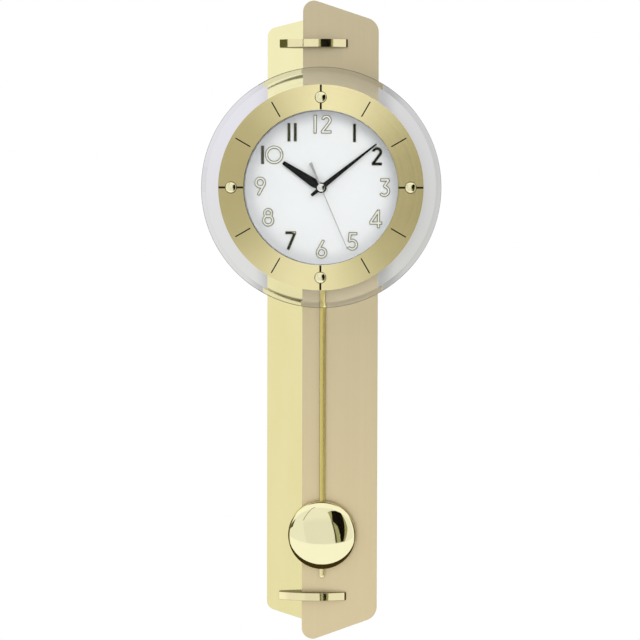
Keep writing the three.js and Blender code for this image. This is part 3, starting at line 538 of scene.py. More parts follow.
# Glare is low over the dial. For rays from polished metal alone, the facet is painted dark towards the rim,
# all round the upper half and on the left below: a painted dark reflection.
paneSet = {"dial": (0.0905, 0.0895), "coat": 0.85, "facet": (0.1205, 0.1213), "slant": 0.06,
           "rise": (-0.03, 0.03), "left": (0.005, -0.015)}


def clearGlass():
    return mixGlass("clearGlass", (0.995, 0.998, 1.0, 1))


def facetGlass():
    return mixGlass("facetGlass", (0.94, 0.94, 0.935, 1), (0.10, 0.085, 0.012, 1))


def mixGlass(name, tint, behind=None):
    finish, place = startFinish(name)
    smear = place.noise(26, 4)
    setSurface(finish, Base_Color=tint, Roughness=smear * 0.012, IOR=1.5,
               Transmission_Weight=1.0, Specular_IOR_Level=0.06)
    tree = finish.node_tree
    lamp = place.node("LightPath", out="Is Shadow Ray")
    glossy = place.node("LightPath", out="Is Glossy Ray")
    coat = paneSet["coat"]
    coated = dialRadius(place).step(*paneSet["dial"]) * (coat + glossy * (1 - coat))
    clear = place.node("BsdfTransparent", None, {"Color": (0.985, 0.99, 0.99, 1)})
    shader = Wire(tree, tree.nodes["Principled BSDF"].outputs[0])
    mixed = place.node("MixShader", None, {0: lamp.math("MAXIMUM", lamp, coated), 1: shader, 2: clear})
    # The painted dark reflection of the facet, for rays from polished metal alone.
    if behind:
        across = place.part("X")
        outer = (dialRadius(place) + across * paneSet["slant"]).step(*paneSet["facet"])
        upper = place.part("Z").step(*(dialHeight + rise for rise in paneSet["rise"]))
        outer = outer * upper.math("MAXIMUM", upper, across.step(*paneSet["left"]))
        dark = place.node("BsdfTransparent", None, {"Color": behind})
        through = place.node("MixShader", None, {0: outer, 1: clear, 2: dark})
        mixed = place.node("MixShader", None, {0: glossy, 1: mixed, 2: through})
    tree.links.new(mixed.socket, tree.nodes["Material Output"].inputs["Surface"])
    return finish


def groundEdge():
    finish, place = startFinish("groundEdge")
    frost = place.noise(700, 3)
    glossy = place.node("LightPath", out="Is Glossy Ray")
    tone = frost.colour((0.10, 0.10, 0.085), (0.18, 0.18, 0.16))
    tone = glossy.colour(tone, (0.04, 0.035, 0.008))  # painted dark reflection: darker, and more opaque, for rays from polished metal
    return setSurface(finish, Base_Color=tone, Roughness=0.45 + frost * 0.3,
                      Alpha=0.45 + frost * 0.25 + glossy * 0.5, Normal=frost.bump(0.02))


def pressedBoard():
    finish, place = startFinish("pressedBoard")
    fibres = place.stretched(900, 900, 260).noise(1, 5, 0.65)
    clumps = place.noise(70, 4)
    mesh = place.node("TexVoronoi", {"feature": "DISTANCE_TO_EDGE"}, {"Vector": place, "Scale": 560})
    dents = mesh.step(0.05, 0.3)
    tone = (fibres * 0.65 + clumps * 0.35).colour((0.035, 0.022, 0.014), (0.15, 0.098, 0.062))
    return setSurface(finish, Base_Color=tone, Roughness=0.62 + fibres * 0.3,
                      Normal=(fibres + dents * 0.5).bump(0.14))


def foamRubber():
    finish, place = startFinish("foamRubber")
    cells = place.node("TexVoronoi", None, {"Vector": place, "Scale": 1500})
    tone = cells.colour((0.012, 0.012, 0.013), (0.035, 0.035, 0.036))
    return setSurface(finish, Base_Color=tone, Roughness=0.85 + cells * 0.15, Normal=cells.bump(0.15))


def mouldedBlack():
    finish, place = startFinish("mouldedBlack")
    grain = place.noise(2600, 3, 0.6)
    flow = place.stretched(30, 30, 90).noise(1, 3)
    tone = flow.colour((0.014, 0.014, 0.016), (0.028, 0.028, 0.031))
    return setSurface(finish, Base_Color=tone, Roughness=0.42 + grain * 0.25, Normal=grain.bump(0.05))


def mouldedWhite():
    finish, place = startFinish("mouldedWhite")
    grain = place.noise(2200, 3)
    tone = grain.colour((0.66, 0.66, 0.65), (0.76, 0.76, 0.74))
    return setSurface(finish, Base_Color=tone, Roughness=0.35 + grain * 0.2, Normal=grain.bump(0.02))


def wheelNylon():
    finish, place = startFinish("wheelNylon")
    cloud = place.noise(420, 3)
    tone = cloud.colour((0.70, 0.67, 0.57), (0.80, 0.77, 0.67))
    return setSurface(finish, Base_Color=tone, Roughness=0.4 + cloud * 0.15, Normal=cloud.bump(0.02))


def woundCopper():
    finish, place = startFinish("woundCopper")
    winding = {"Vector": place, "Scale": 900, "Distortion": 0.6}
    turns = place.node("TexWave", {"bands_direction": "X"}, winding)
    cloud = place.noise(300, 3)
    tone = (turns * 0.6 + cloud * 0.4).colour((0.26, 0.09, 0.035), (0.62, 0.27, 0.12))
    return setSurface(finish, Base_Color=tone, Metallic=0.9, Roughness=0.3 + turns * 0.2,
                      Normal=turns.bump(0.12))


def circuitGreen():
    finish, place = startFinish("circuitGreen")
    tracks = place.node("TexBrick", {"offset": 0.35}, {"Vector": place, "Scale": 260}, "Fac")
    mask = place.noise(500, 2).step(0.45, 0.55)
    tone = (tracks * mask).colour((0.012, 0.075, 0.034), (0.03, 0.16, 0.07))
    return setSurface(finish, Base_Color=tone, Roughness=0.32 + mask * 0.15, Normal=tracks.bump(0.05))


def ferriteGrey():
    finish, place = startFinish("ferriteGrey")
    grit = place.noise(1600, 4, 0.7)
    tone = grit.colour((0.03, 0.03, 0.033), (0.085, 0.085, 0.09))
    return setSurface(finish, Base_Color=tone, Metallic=0.2, Roughness=0.55 + grit * 0.25,
                      Normal=grit.bump(0.05))


sleeveBand = (0.0128, 0.0131)  # where the cell's copper end starts


def cellSleeve():
    finish, place = startFinish("cellSleeve")
    band = place.part("X").step(*sleeveBand)
    film = place.noise(180, 3)
    body = film.colour((0.020, 0.024, 0.032), (0.035, 0.041, 0.052))
    cap = film.colour((0.50, 0.30, 0.13), (0.60, 0.38, 0.18))
    tone = band.colour(body, cap)
    return setSurface(finish, Base_Color=tone, Metallic=band * 0.7, Roughness=0.2 + film * 0.15,
                      Coat_Weight=0.3, Coat_Roughness=0.1, Normal=film.bump(0.03))


finishes = {make.__name__: make() for make in (
    mirrorGold, brushedChampagne, spunGold, polishedGold, barGold, bobGold, paleGold, figureOutlineShade,
    brightNickel, barEdgeShade, satinBrass, turnedBrass, zincSteel, silverNeedle, handBlack, tickBlack,
    dialWhite, paintedShadeBronze, collarWhite, clearGlass, facetGlass, groundEdge, pressedBoard, foamRubber,
    mouldedBlack, mouldedWhite, wheelNylon, woundCopper, circuitGreen, ferriteGrey, cellSleeve)}
print("finishes mixed,", len(finishes))


# CAD nodes that keep their shape take the finish of their slot.
slotFinish = {
    "mirror_gold": "mirrorGold", "champagne": "brushedChampagne", "ring_gold": "spunGold",
    "polished_gold": "polishedGold", "brass": "turnedBrass", "steel": "zincSteel",
    "dark_metal": "handBlack", "fibreboard": "pressedBoard", "dial_white": "dialWhite",
    "white_plastic": "mouldedWhite", "black_plastic": "mouldedBlack", "rubber": "foamRubber",
    "glass": "clearGlass", "copper": "woundCopper", "circuit": "circuitGreen",
    "nylon": "wheelNylon", "battery": "cellSleeve", "ferrite": "ferriteGrey",
}
nodeSlot = {part["node"]: part["material_slot"] for part in frame["record"]["subparts"]}
for nodeName, node in nodes.items():
    node.data.materials.clear()
    node.data.materials.append(finishes[slotFinish[nodeSlot[nodeName]]])


def softenNode(node, name, width, finish=None, body="clock_body"):
    slot = nodeSlot[node]
    piece = cleanCopy(node, name)
    softenEdges(piece, width)
    dress(piece, finishes[finish or slotFinish[slot]], body, (node,))


# Bowed bars over the seam, their right ends rounded off.
barSet = {"round": 3.2, "roundSteps": 6, "edge": 0.35, "edgeSteps": 3, "side": 0.8, "end": 0.5}


def makeBars():
    for end in ("top", "bottom"):
        bar = cleanCopy("bracket_" + end, "seamBar_" + end)
        right = max(v.co.x for v in bar.data.vertices) - nearPlane
        front = min(v.co.y for v in bar.data.vertices if v.co.x > right) + nearPlane
        selectEdges(bar, lambda a, b: min(a.x, b.x) > right and max(a.y, b.y) < front)
        bpy.ops.mesh.bevel(offset=barSet["round"] * mm, segments=barSet["roundSteps"], affect="EDGES")
        closeMesh()
        softenEdges(bar, barSet["edge"], barSet["edgeSteps"])
        dress(bar, finishes["barGold"], stands=("bracket_" + end,))
        # The top, bottom and end faces take the painted dark shade.
        dressFaces(bar, "barEdgeShade", lambda centre, normal: abs(normal.z) > barSet["side"]
                   or normal.x > barSet["end"])


# The two sheets, the boards and everything that is simply cut, pressed or moulded: each node's
# piece name, its edges' radius, and its finish and body where they aren't the slot's and the case's.
caseEdges = {
    "left_sheet": ("mirrorSheet", 0.3), "right_sheet": ("brushedSheet", 0.3),
    "back_rail_top": ("boardRail", 0.6), "back_board_upper": ("boardUpper", 0.6),
    "back_board_lower": ("boardLower", 0.6), "hanger_plate": ("hangerPlate", 0.25),
    "wall_pad": ("wallPad", 0.5), "movement_cover": ("movementCover", 0.2),
    "movement_case": ("movementCase", 0.4), "dial_carrier": ("dialCarrier", 0.3),
    "dial_collar": ("dialCollar", 0.15, "collarWhite"), "shaft_nut": ("shaftNut", 0.25, "brightNickel"),
}
behindEdges = {
    "post_upper_left": ("spacerPost_upper_left", 0.3), "post_upper_right": ("spacerPost_upper_right", 0.3),
    "post_lower_left": ("spacerPost_lower_left", 0.3), "post_lower_right": ("spacerPost_lower_right", 0.3),
    "pendulum_arm": ("pendulumArm", 0.25, None, "pendulum"),
    "pendulum_magnet": ("pendulumMagnet", 0.2, None, "pendulum"),
    "pendulum_rod": ("pendulumRod", 0.12, "satinBrass", "pendulum"),
    "bob_back": ("bobBack", 0.15, None, "pendulum"),
}
for node, settings in caseEdges.items():
    softenNode(node, *settings)
makeBars()
for node, settings in behindEdges.items():
    softenNode(node, *settings)
print("cut and moulded pieces softened")


# Countersunk rear screws with a cross recess, turned once for each size.
rearSet = {
    "post_screw_": {"name": "postScrew_", "head": 4, "edge": 0.25, "sink": 2.2, "shank": 2, "back": 2.2,
                    "tip": 27.5, "point": 1, "reach": 2.1, "slot": 0.45, "deep": 1.4, "steps": 40},
    "hanger_screw_": {"name": "hangerScrew_", "head": 3.2, "edge": 0.2, "sink": 1.7, "shank": 1.6,
                      "back": 0.2, "tip": 12.5, "point": 1, "reach": 1.7, "slot": 0.38, "deep": 1.1,
                      "steps": 40},
}
recessShadeSet = {"beyond": 0.2, "below": 0.05}  # how far the painted shade in the recess reaches


def makeRearScrews(start, size):
    head, edge, shank, back, tip = (size[k] for k in ("head", "edge", "shank", "back", "tip"))
    profile = [(0, back), (head - edge, back), (head, back + edge), (shank, back + size["sink"]),
               (shank, tip - size["point"]), (0, tip)]
    first = turnProfile("screwPattern", profile, size["steps"])
    far, near = size["reach"], size["slot"]
    for wide, tall in ((far, near), (near, far)):
        corners = rectangle(-wide, wide, -tall, tall)
        carve(first, cutPlate("recess", corners, back - pastCut, back + size["deep"]))
    smoothBy(first)
    for node in [name for name in nodes if name.startswith(start)]:
        low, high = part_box(node)
        screw = copyPiece(first, node.replace(start, size["name"]))
        openMesh(screw)
        bpy.ops.mesh.select_all(action="SELECT")
        axis = Vector(((low.x + high.x) / 2, 0, (low.z + high.z) / 2))
        bpy.ops.transform.translate(value=axis - spot(0, 0, 0))
        closeMesh()
        dress(screw, finishes["zincSteel"], stands=(node,))
        recess = axis + Vector((0, -(back + size["deep"] / 2) * mm, 0))
        around = (far + recessShadeSet["beyond"]) * mm
        below = -(back + recessShadeSet["below"]) * mm
        # The faces inside the recess take the painted shade.
        dressFaces(screw, "paintedShadeBronze", lambda centre, normal: (centre - recess).length < around
                   and centre.y < below)
    bpy.data.objects.remove(first)


for start, size in rearSet.items():
    makeRearScrews(start, size)
print("rear screws turned")


# Dial plate with its applied numerals. A leaning numeral has x, y and the reach of its faces.
dialSet = {"radius": 80.5, "bore": 4.9, "back": 46.7, "front": 48.2, "edge": 0.15, "steps": 128, "cut": 0.02,
           "chamfer": 0.62, "rise": 0.6, "facing": -0.9, "edgeFacing": -0.93, "smooth": 20,
           "lean": 6, "lift": 0.2, "tall": 11,
           "leaning": ((34.6, 57.3, 5), (-34.2, 58.1, 2.5), (-27.5, 58.1, 2.5), (-61.9, 34.4, 4),
                       (-32.2, -55.3, 9), (58.5, 33.7, 9))}


def makeDial():
    bore, radius, back, front = (dialSet[k] for k in ("bore", "radius", "back", "front"))
    plate = turnRing("dialPlate", bore, radius, back, front, dialSet["steps"])
    softenEdges(plate, dialSet["edge"])
    dress(plate, finishes["dialWhite"], stands=("dial",))

    facing = dialSet["facing"]
    figures = weldedCopy("dial", "dialNumerals")
    bpy.ops.mesh.bisect(plane_co=spot(0, 0, front + dialSet["cut"]), plane_no=(0, 1, 0),
                        clear_outer=True, threshold=weld)
    bpy.ops.mesh.select_all(action="SELECT")
    bpy.ops.mesh.remove_doubles(threshold=weld)
    bpy.ops.mesh.dissolve_limited(angle_limit=flatAngle)
    top = min(v.co.y for v in nodes["dial"].data.vertices)
    selectFaces(figures, lambda centre, normal: normal.y < facing and centre.y < top + nearPlane)
    bpy.ops.mesh.inset(thickness=dialSet["chamfer"] * mm, depth=0, use_even_offset=True)
    bpy.ops.transform.translate(value=(0, -dialSet["rise"] * mm, 0))
    crest = top - dialSet["rise"] * mm
    for x, y, reach in dialSet["leaning"]:
        middle = spot(x, y, front)

        def onFigure(centre, normal):
            beside = abs(centre.x - middle.x) < reach * mm
            level = abs(centre.z - middle.z) < dialSet["tall"] * mm
            return beside and level and normal.y < facing and centre.y < crest + nearPlane

        selectFaces(figures, onFigure)
        bpy.ops.transform.rotate(value=-math.radians(dialSet["lean"]), orient_axis="Z",
                                 center_override=(middle.x, crest, middle.z))
        bpy.ops.transform.translate(value=(0, -dialSet["lift"] * mm, 0))
    tidyNormals()
    smoothBy(figures, dialSet["smooth"])
    dress(figures, finishes["paleGold"])
    # The chamfers and sides take the painted dark outline.
    dressFaces(figures, "figureOutlineShade", lambda centre, normal: normal.y > dialSet["edgeFacing"])


makeDial()
print("dial and numerals set")


# Chapter ring with inlaid ticks.
ringSet = {"inner": 81, "outer": 107.4, "back": 60.6, "front": 61.8, "edge": 0.22, "steps": 192,
           "bore": 2.8, "boreSteps": 24, "circle": 94}
tickSet = {"depth": 0.35, "wide": 2.1, "thin": 1.3, "thinInner": 85, "thinOuter": 103, "proud": 0.02,
           "trim": 0.25, "edge": 0.05}
quarterNames = ("12", "3", "6", "9")


def aroundDial(radius):
    return [(radius * math.sin(i * math.pi / 2), radius * math.cos(i * math.pi / 2)) for i in range(4)]


def boreCutters(radius, back, front):
    cutters = []
    for x, y in aroundDial(ringSet["circle"]):
        profile = [(0, back), (radius, back), (radius, front), (0, front)]
        cutters.append(turnProfile("boreCutter", profile, ringSet["boreSteps"], x, y))
    return cutters


def tickPlace(hour):
    wide = hour % 3 == 0
    half = (tickSet["wide"] if wide else tickSet["thin"]) / 2
    inner = ringSet["inner"] if wide else tickSet["thinInner"]
    outer = ringSet["outer"] if wide else tickSet["thinOuter"]
    return half, inner, outer, wide


def makeRing():
    inner, outer, back, front = (ringSet[k] for k in ("inner", "outer", "back", "front"))
    band = turnRing("chapterRing", inner, outer, back, front, ringSet["steps"])
    softenEdges(band, ringSet["edge"])
    floor = front - tickSet["depth"]
    for hour in range(12):
        half, start, end, wide = tickPlace(hour)
        over = pastCut if wide else 0
        corners = rectangle(-half, half, start - over, end + over)
        cutter = cutPlate("tickCutter", corners, floor, front + pastCut)
        turnAbout(cutter, hour * 30)
        carve(band, cutter)
        trim = tickSet["trim"] if wide else 0
        corners = rectangle(-half, half, start + trim, end - trim)
        inlay = cutPlate("tickInlay_%02d" % (hour or 12), corners, floor, front + tickSet["proud"])
        softenEdges(inlay, tickSet["edge"])
        turnAbout(inlay, hour * 30)
        dress(inlay, finishes["tickBlack"])
    carve(band, *boreCutters(ringSet["bore"], back - pastCut, front + pastCut))
    openMesh(band)
    bpy.ops.mesh.customdata_custom_splitnormals_clear()
    smoothBy(band)
    applyModifier(band, "WEIGHTED_NORMAL", keep_sharp=True)
    dress(band, finishes["spunGold"], stands=("chapter_ring",))


makeRing()
print("chapter ring cut and inlaid")


# Glass disc with its ground facet, and the frosted band round its rim.
glassSet = {"radius": 125.5, "back": 56.4, "front": 60.4, "facet": 5, "drop": 2.2, "edge": 0.35, "bore": 3,
            "steps": 192, "smooth": 8, "slope": (-0.97, -0.85)}
rimSet = {"inner": 0.02, "outer": 0.32, "edge": 0.15}


def makeGlass():
    radius, back, front, edge = (glassSet[k] for k in ("radius", "back", "front", "edge"))
    low = front - glassSet["drop"]
    profile = [(0, back), (radius - edge, back), (radius, back + edge), (radius, low - edge)]
    profile += [(radius - edge, low), (radius - edge - glassSet["facet"], front), (0, front)]
    disc = turnProfile("glassDisc", profile, glassSet["steps"])
    carve(disc, *boreCutters(glassSet["bore"], back - pastCut, front + pastCut))
    smoothBy(disc, glassSet["smooth"])
    dress(disc, finishes["clearGlass"], stands=("glass_disc",))
    least, most = glassSet["slope"]
    dressFaces(disc, "facetGlass", lambda centre, normal: least < normal.y < most)
    inner, outer = radius + rimSet["inner"], radius + rimSet["outer"]
    start, end = back + edge, low - edge
    profile = [(inner, start), (outer, start + rimSet["edge"]), (outer, end - rimSet["edge"]),
               (inner, end), (inner, start)]
    rim = turnProfile("glassRim", profile, glassSet["steps"])
    dress(rim, finishes["groundEdge"])


makeGlass()
print("glass ground")


# Low-crowned cap screws over the four wide ticks.
# A thin dark ring under each cap, seen as a dark outline round it: a painted shade.
shadeRingSet = {"radius": 6.25, "bore": 2.6, "back": 61.83, "front": 61.98, "edge": 0.04, "steps": 48}
capSet = {"radius": 5.75, "base": 62, "edge": 0.15, "wall": 2, "shoulder": 0.8, "crown": 0.55, "stud": 2.4,
          "tail": 49, "bend": (0, 15, 30, 45, 60, 75), "steps": 64}


# The piece at 12, and a turned copy of it at each other quarter.
def roundQuarters(first, start, finish, replaced=None):
    for index, name in enumerate(quarterNames):
        piece = copyPiece(first, start + name) if index else first
        if index:
            turnAbout(piece, index * 90)
        dress(piece, finishes[finish], stands=(replaced + name,) if replaced else ())


def makeCaps():
    radius, base, edge, shoulder = (capSet[k] for k in ("radius", "base", "edge", "shoulder"))
    stud, tail, top, flat = capSet["stud"], capSet["tail"], base + capSet["wall"], radius - shoulder
    bend = [(flat + shoulder * math.cos(a), top - shoulder + shoulder * math.sin(a))
            for a in (math.radians(angle) for angle in capSet["bend"])]
    profile = [(0, tail), (stud, tail), (stud, base), (radius - edge, base), (radius, base + edge)]
    profile += bend + domeCurve(flat, top, capSet["crown"])
    cap = turnProfile("capScrew_12", profile, capSet["steps"], y=ringSet["circle"])
    roundQuarters(cap, "capScrew_", "polishedGold", "dome_screw_")
    # The dark ring under each cap is painted shade.
    bore, wide, back, front = (shadeRingSet[k] for k in ("bore", "radius", "back", "front"))
    shadeRing = turnRing("capShadeRing_12", bore, wide, back, front, shadeRingSet["steps"], ringSet["circle"])
    softenEdges(shadeRing, shadeRingSet["edge"], 1)
    roundQuarters(shadeRing, "capShadeRing_", "paintedShadeBronze")


makeCaps()
print("cap screws turned")


# The hands, drawn upright and turned to the time.
handSet = {
    "hour": {"length": 48, "root": 9.6, "shoulder": 9, "tip": 4, "tail": 0, "tailWidth": 5,
             "hub": 5.6, "bore": 2.6, "back": 50.7, "front": 51.3, "angle": 303.3},
    "minute": {"length": 73.7, "root": 5.2, "shoulder": 5, "tip": 1.6, "tail": 13, "tailWidth": 3,
               "hub": 5.2, "bore": 1.55, "back": 52.2, "front": 52.8, "angle": 51.7},
}
secondSet = {"length": 70, "root": 0.9, "tip": 0.7, "tail": 28.3, "tailRoot": 1.5, "tailWidth": 3.2,
             "hub": 4.1, "back": 53.6, "front": 54.1, "cap": 55.4, "crown": 0.5, "edge": 0.12,
             "steps": 64, "angle": 156.7}
bladeSet = {"edge": 0.22, "hubEdge": 0.12, "under": 0.05, "over": 0.08, "steps": 48}  # both dark hands


def makeHand(name, size):
    half, tip, end = (size[k] / 2 for k in ("root", "tip", "tailWidth"))
    shoulder, tail, length, back, front = (size[k] for k in ("shoulder", "tail", "length", "back", "front"))
    corners = [(-half, shoulder), (-end, -tail), (end, -tail), (half, shoulder)]
    blade = cutPlate(name + "Blade", corners + [(tip, length), (-tip, length)], back, front)
    softenEdges(blade, bladeSet["edge"])
    turnAbout(blade, size["angle"])
    dress(blade, finishes["handBlack"], name, (name + "_hand",))
    back, front = back - bladeSet["under"], front + bladeSet["over"]
    boss = turnRing(name + "Hub", size["bore"], size["hub"], back, front, bladeSet["steps"])
    softenEdges(boss, bladeSet["hubEdge"])
    dress(boss, finishes["handBlack"], name)


def makeSecondHand():
    back, front, cap, hub = (secondSet[k] for k in ("back", "front", "cap", "hub"))
    half, tip, near, wide = (secondSet[k] / 2 for k in ("root", "tip", "tailRoot", "tailWidth"))
    length, tail = secondSet["length"], secondSet["tail"]
    needle = cutPlate("secondNeedle", [(-half, 0), (half, 0), (tip, length), (-tip, length)], back, front)
    weight = cutPlate("secondTail", [(-near, 0), (-wide, -tail), (wide, -tail), (near, 0)], back, front)
    for piece in (needle, weight):
        softenEdges(piece, secondSet["edge"])
        turnAbout(piece, secondSet["angle"])
    dress(needle, finishes["silverNeedle"], "second", ("second_hand",))
    dress(weight, finishes["silverNeedle"], "second")
    dome = domeCurve(hub, cap - secondSet["crown"], secondSet["crown"])
    button = turnProfile("secondCap", [(0, back), (hub, back)] + dome, secondSet["steps"])
    dress(button, finishes["brightNickel"], "second")


for handName, handSizes in handSet.items():
    makeHand(handName, handSizes)
makeSecondHand()
print("hands fitted")


# The bob's polished shell.
bobSet = {"y": -369.6, "radius": 36.2, "back": 24.9, "rim": 2.2, "crown": 6.6, "shell": 1.4, "roll": 0.35,
          "inside": 14, "outside": 28, "steps": 128}


def makeBob():
    radius, back, crown, shell = (bobSet[k] for k in ("radius", "back", "crown", "shell"))
    brow = back + bobSet["rim"]

    def curve(outer, height, count):
        steps = (i / count * math.pi / 2 for i in range(count + 1))
        return [(outer * math.cos(a), brow + height * math.sin(a)) for a in steps]

    roll = bobSet["roll"]
    profile = curve(radius - shell, crown - shell, bobSet["inside"])[::-1]
    profile += [(radius - shell, back), (radius - roll, back), (radius, back + roll)]
    profile += curve(radius, crown, bobSet["outside"])
    shellPiece = turnProfile("bobShell", profile, bobSet["steps"], y=bobSet["y"])
    dress(shellPiece, finishes["bobGold"], "pendulum", ("bob_shell",))


makeBob()
print("bob pressed")


# Stage: camera where the photograph was taken, soft light, pale floor and studio cards.
cameraSet = {"x": 147.0, "y": -36.0, "out": 2400, "yaw": 3.61, "pitch": 2.5, "roll": -0.145, "lens": 126.1,
             "sensor": 36}
lightSet = {"world": 0.8, "dark": 0.08, "ends": (0.80, 0.93), "warm": (1, 0.8, 0.42), "key": 22,
            "keyPlace": (0.9, -2.6, 1.0), "keySize": 2.2, "aim": (0, 0, -0.27)}
floorSet = {"height": -1.0, "radius": 1.8, "corners": 96}
# What polished metal sees from the clock: corners in degrees right and up, and a colour or, where
# it changes with height, two.
cards = {
    "wallCard": (((-60, -15.7), (45, -15.7), (45, 21), (-60, 21)), (0.87, 0.87, 0.87)),
    "windowCard": (((-13.9, -15.7), (6.9, -15.3), (3.8, 1.1), (2.2, 11.9), (1.5, 21), (-15.5, 23),
                    (-19.6, 4.1)), (0.8, 0.8, 0.8), (0.88, 0.88, 0.88)),
    "standCard": (((-62, 1), (-41, 1), (-41, 16), (-62, 16)), (0.10, 0.10, 0.035)),
    "poleCard": (((-20.2, 3.5), (-19.2, 3.5), (-15, 22.2), (-11.5, 22.6), (-13.5, 25), (-15.8, 24)),
                 (0.18, 0.18, 0.12)),
    "frameCard": (((2.2, 11.9), (3.8, 1.1), (6.9, -15.3), (11.4, -15.3), (9.1, -2.8), (4.8, 1.2),
                   (6.6, 15.8)), (0.36, 0.36, 0.22)),
    "frameLine": (((3.8, 1.1), (6.9, -15.3), (8.4, -15.3), (4.9, 1.1)), (0.05, 0.045, 0.02)),
    "sideCard": (((15.9, -11.5), (15.2, -15), (17.4, -15.6), (20.5, -9), (23.5, -2), (22.6, 20.4),
                  (18.7, 2.4)), (0.32, 0.31, 0.18)),
    "footCard": (((11.4, -15.3), (17.4, -15.6), (15.2, -15), (11.4, -15)), (0.36, 0.35, 0.22)),
    "doorCard": (((4.8, 1.2), (9.1, -2.8), (10.9, -11.5), (11.4, -15), (15.2, -15), (15.9, -11.5),
                  (18.7, 2.4), (22.6, 20.4), (13.7, 19.6), (6.6, 15.8)), (0.004, 0.003, 0.002)),
}
cardSet = {"distance": 4.6, "middle": -0.3, "apart": 0.012, "rise": (-0.4, 0.15), "thick": 4, "pale": 0.5}
wallSet = {"half": 600, "out": -4, "across": (-0.11, 0.11), "fall": (0.08, -0.08),
           "left": ((0.77, 0.765, 0.82), (0.725, 0.725, 0.715)),
           "right": ((0.665, 0.66, 0.665), (0.62, 0.62, 0.595)),
           "middle": 0.0015, "beside": (0.078, 0.0575), "besideShade": 0.32, "cornerLoss": 0.7,
           "under": (0.117, 0.1), "underShade": 0.16}
floorCard = {"colour": (0.045, 0.03, 0.008), "height": -0.98, "x": (-1.2, 1.2), "y": (-0.55, 0.6)}


def setCamera():
    lens = bpy.data.cameras.new("photoCamera")
    lens.lens = cameraSet["lens"]
    lens.sensor_width = cameraSet["sensor"]
    camera = bpy.data.objects.new("photoCamera", lens)
    camera.location = spot(cameraSet["x"], cameraSet["y"], cameraSet["out"])
    turn = (90 - cameraSet["pitch"], cameraSet["roll"], cameraSet["yaw"])
    camera.rotation_euler = [math.radians(angle) for angle in turn]
    bpy.context.scene.collection.objects.link(camera)
    bpy.context.scene.camera = camera


def setWorld():
    world = bpy.data.worlds.new("studio")
    bpy.context.scene.world = world
    world.use_nodes = True
    tree = world.node_tree
    start = Wire(tree)
    toward = start.node("TexCoord", out="Generated")
    sides = toward.math("ABSOLUTE", toward.part("X"), 0).step(*lightSet["ends"])
    poles = toward.math("ABSOLUTE", toward.part("Z"), 0).step(*lightSet["ends"])
    room = (1 - sides) * (1 - poles) * (1 - lightSet["dark"]) + lightSet["dark"]
    path = start.node("LightPath", out="Is Camera Ray")
    sharp = start.node("LightPath", out="Is Glossy Ray") + start.node("LightPath", out="Is Transmission Ray")
    sharp = sharp.step(0.0, 0.5)
    level = sharp * room + (1 - sharp) * lightSet["world"]
    level = path + (1 - path) * level
    warm = (sharp * (1 - room)).colour((1, 1, 1), lightSet["warm"])
    background = tree.nodes["Background"]
    tree.links.new(warm.socket, background.inputs["Color"])
    tree.links.new(level.socket, background.inputs["Strength"])


def setLamp():
    lamp = bpy.data.lights.new("keyLamp", "AREA")
    lamp.shape = "DISK"
    lamp.size = lightSet["keySize"]
    lamp.energy = lightSet["key"]
    holder = bpy.data.objects.new("keyLamp", lamp)
    holder.location = lightSet["keyPlace"]
    aim = Vector(lightSet["aim"]) - holder.location
    holder.rotation_euler = aim.to_track_quat("-Z", "Y").to_euler()
    holder.visible_glossy = False
    bpy.context.scene.collection.objects.link(holder)


def setFloor():
    deselectAll()
    bpy.ops.mesh.primitive_circle_add(vertices=floorSet["corners"], radius=floorSet["radius"],
                                      fill_type="NGON", location=(0, 0, floorSet["height"]))
    ground = bpy.context.object
    ground.name = "paleFloor"
    finish, place = startFinish("paleFloor")
    tone = place.noise(3, 3).colour((0.80, 0.80, 0.79), (0.84, 0.84, 0.83))
    ground.data.materials.append(setSurface(finish, Base_Color=tone, Roughness=0.8))
    ground.visible_glossy = False


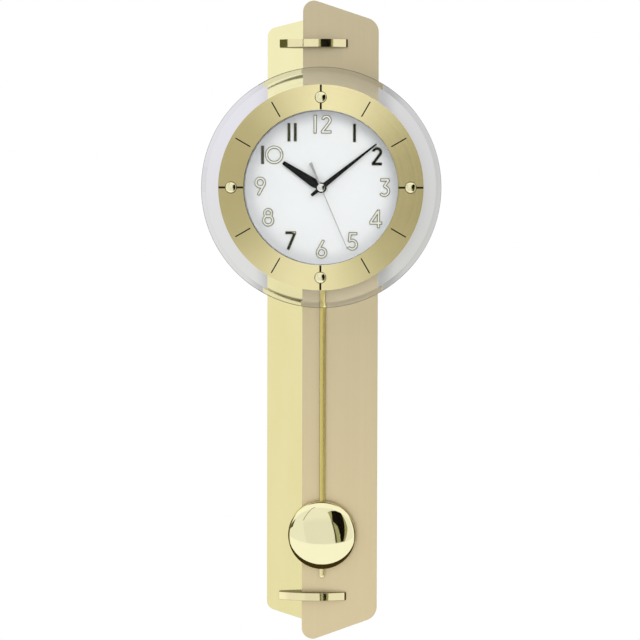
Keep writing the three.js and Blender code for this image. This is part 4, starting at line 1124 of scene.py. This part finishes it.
def stageCard(card, low, high=None):
    finish, place = startFinish(card.name)
    glow = place.part("Z").step(*cardSet["rise"]).colour(low, high) if high else (*low, 1)
    lightUp(card, finish, glow)
    card.visible_transmission = low[0] > cardSet["pale"]  # the dark cards don't show through the glass


def lightUp(card, finish, glow):
    setSurface(finish, Base_Color=(0, 0, 0, 1), Roughness=1.0, Specular_IOR_Level=0.0,
               Emission_Color=glow, Emission_Strength=1.0)
    card.data.materials.append(finish)
    card.visible_camera = False
    card.visible_diffuse = False
    card.visible_shadow = False


# A glowing wall behind the clock, seen only through the glass, with its shade painted in: darker to the
# right and below, around the sheets and under the ring.
def setWall():
    half, out = wallSet["half"], wallSet["out"]
    wall = cutPlate("paintedShadeWall", rectangle(-half, half, -half, half), out - cardSet["thick"], out)
    finish, place = startFinish("paintedShadeWall")
    across = place.part("X").step(*wallSet["across"])
    low = place.part("Z").step(*(dialHeight + rise for rise in wallSet["fall"]))
    tone = across.colour(low.colour(*wallSet["left"]), low.colour(*wallSet["right"]))
    beside = place.math("ABSOLUTE", place.part("X") - wallSet["middle"], 0).step(*wallSet["beside"])
    under = dialRadius(place).step(*wallSet["under"])
    corner = (1 - across) * (1 - low) * wallSet["cornerLoss"]
    shade = beside * (1 - corner) * wallSet["besideShade"] + under * wallSet["underShade"]
    lightUp(wall, finish, shade.colour(tone, (0, 0, 0)))
    wall.visible_glossy = False


def setCards():
    far, thick = cardSet["distance"], cardSet["thick"]
    for name, (corners, *colours) in cards.items():
        far -= cardSet["apart"]
        outline = []
        for right, up in corners:
            height = cardSet["middle"] + far * math.tan(math.radians(up)) - dialHeight
            outline.append((far * math.tan(math.radians(right)) / mm, height / mm))
        stageCard(cutPlate(name, outline, far / mm, far / mm + thick), *colours)
    (left, right), (front, back) = floorCard["x"], floorCard["y"]
    height = (floorCard["height"] - dialHeight) / mm
    corners = rectangle(left / mm, right / mm, height, height + thick)
    stageCard(cutPlate("floorCard", corners, -back / mm, -front / mm), floorCard["colour"])


setCamera()
setWorld()
setLamp()
setFloor()
setCards()
setWall()
bpy.context.scene.view_settings.view_transform = "Standard"
print("stage lit")
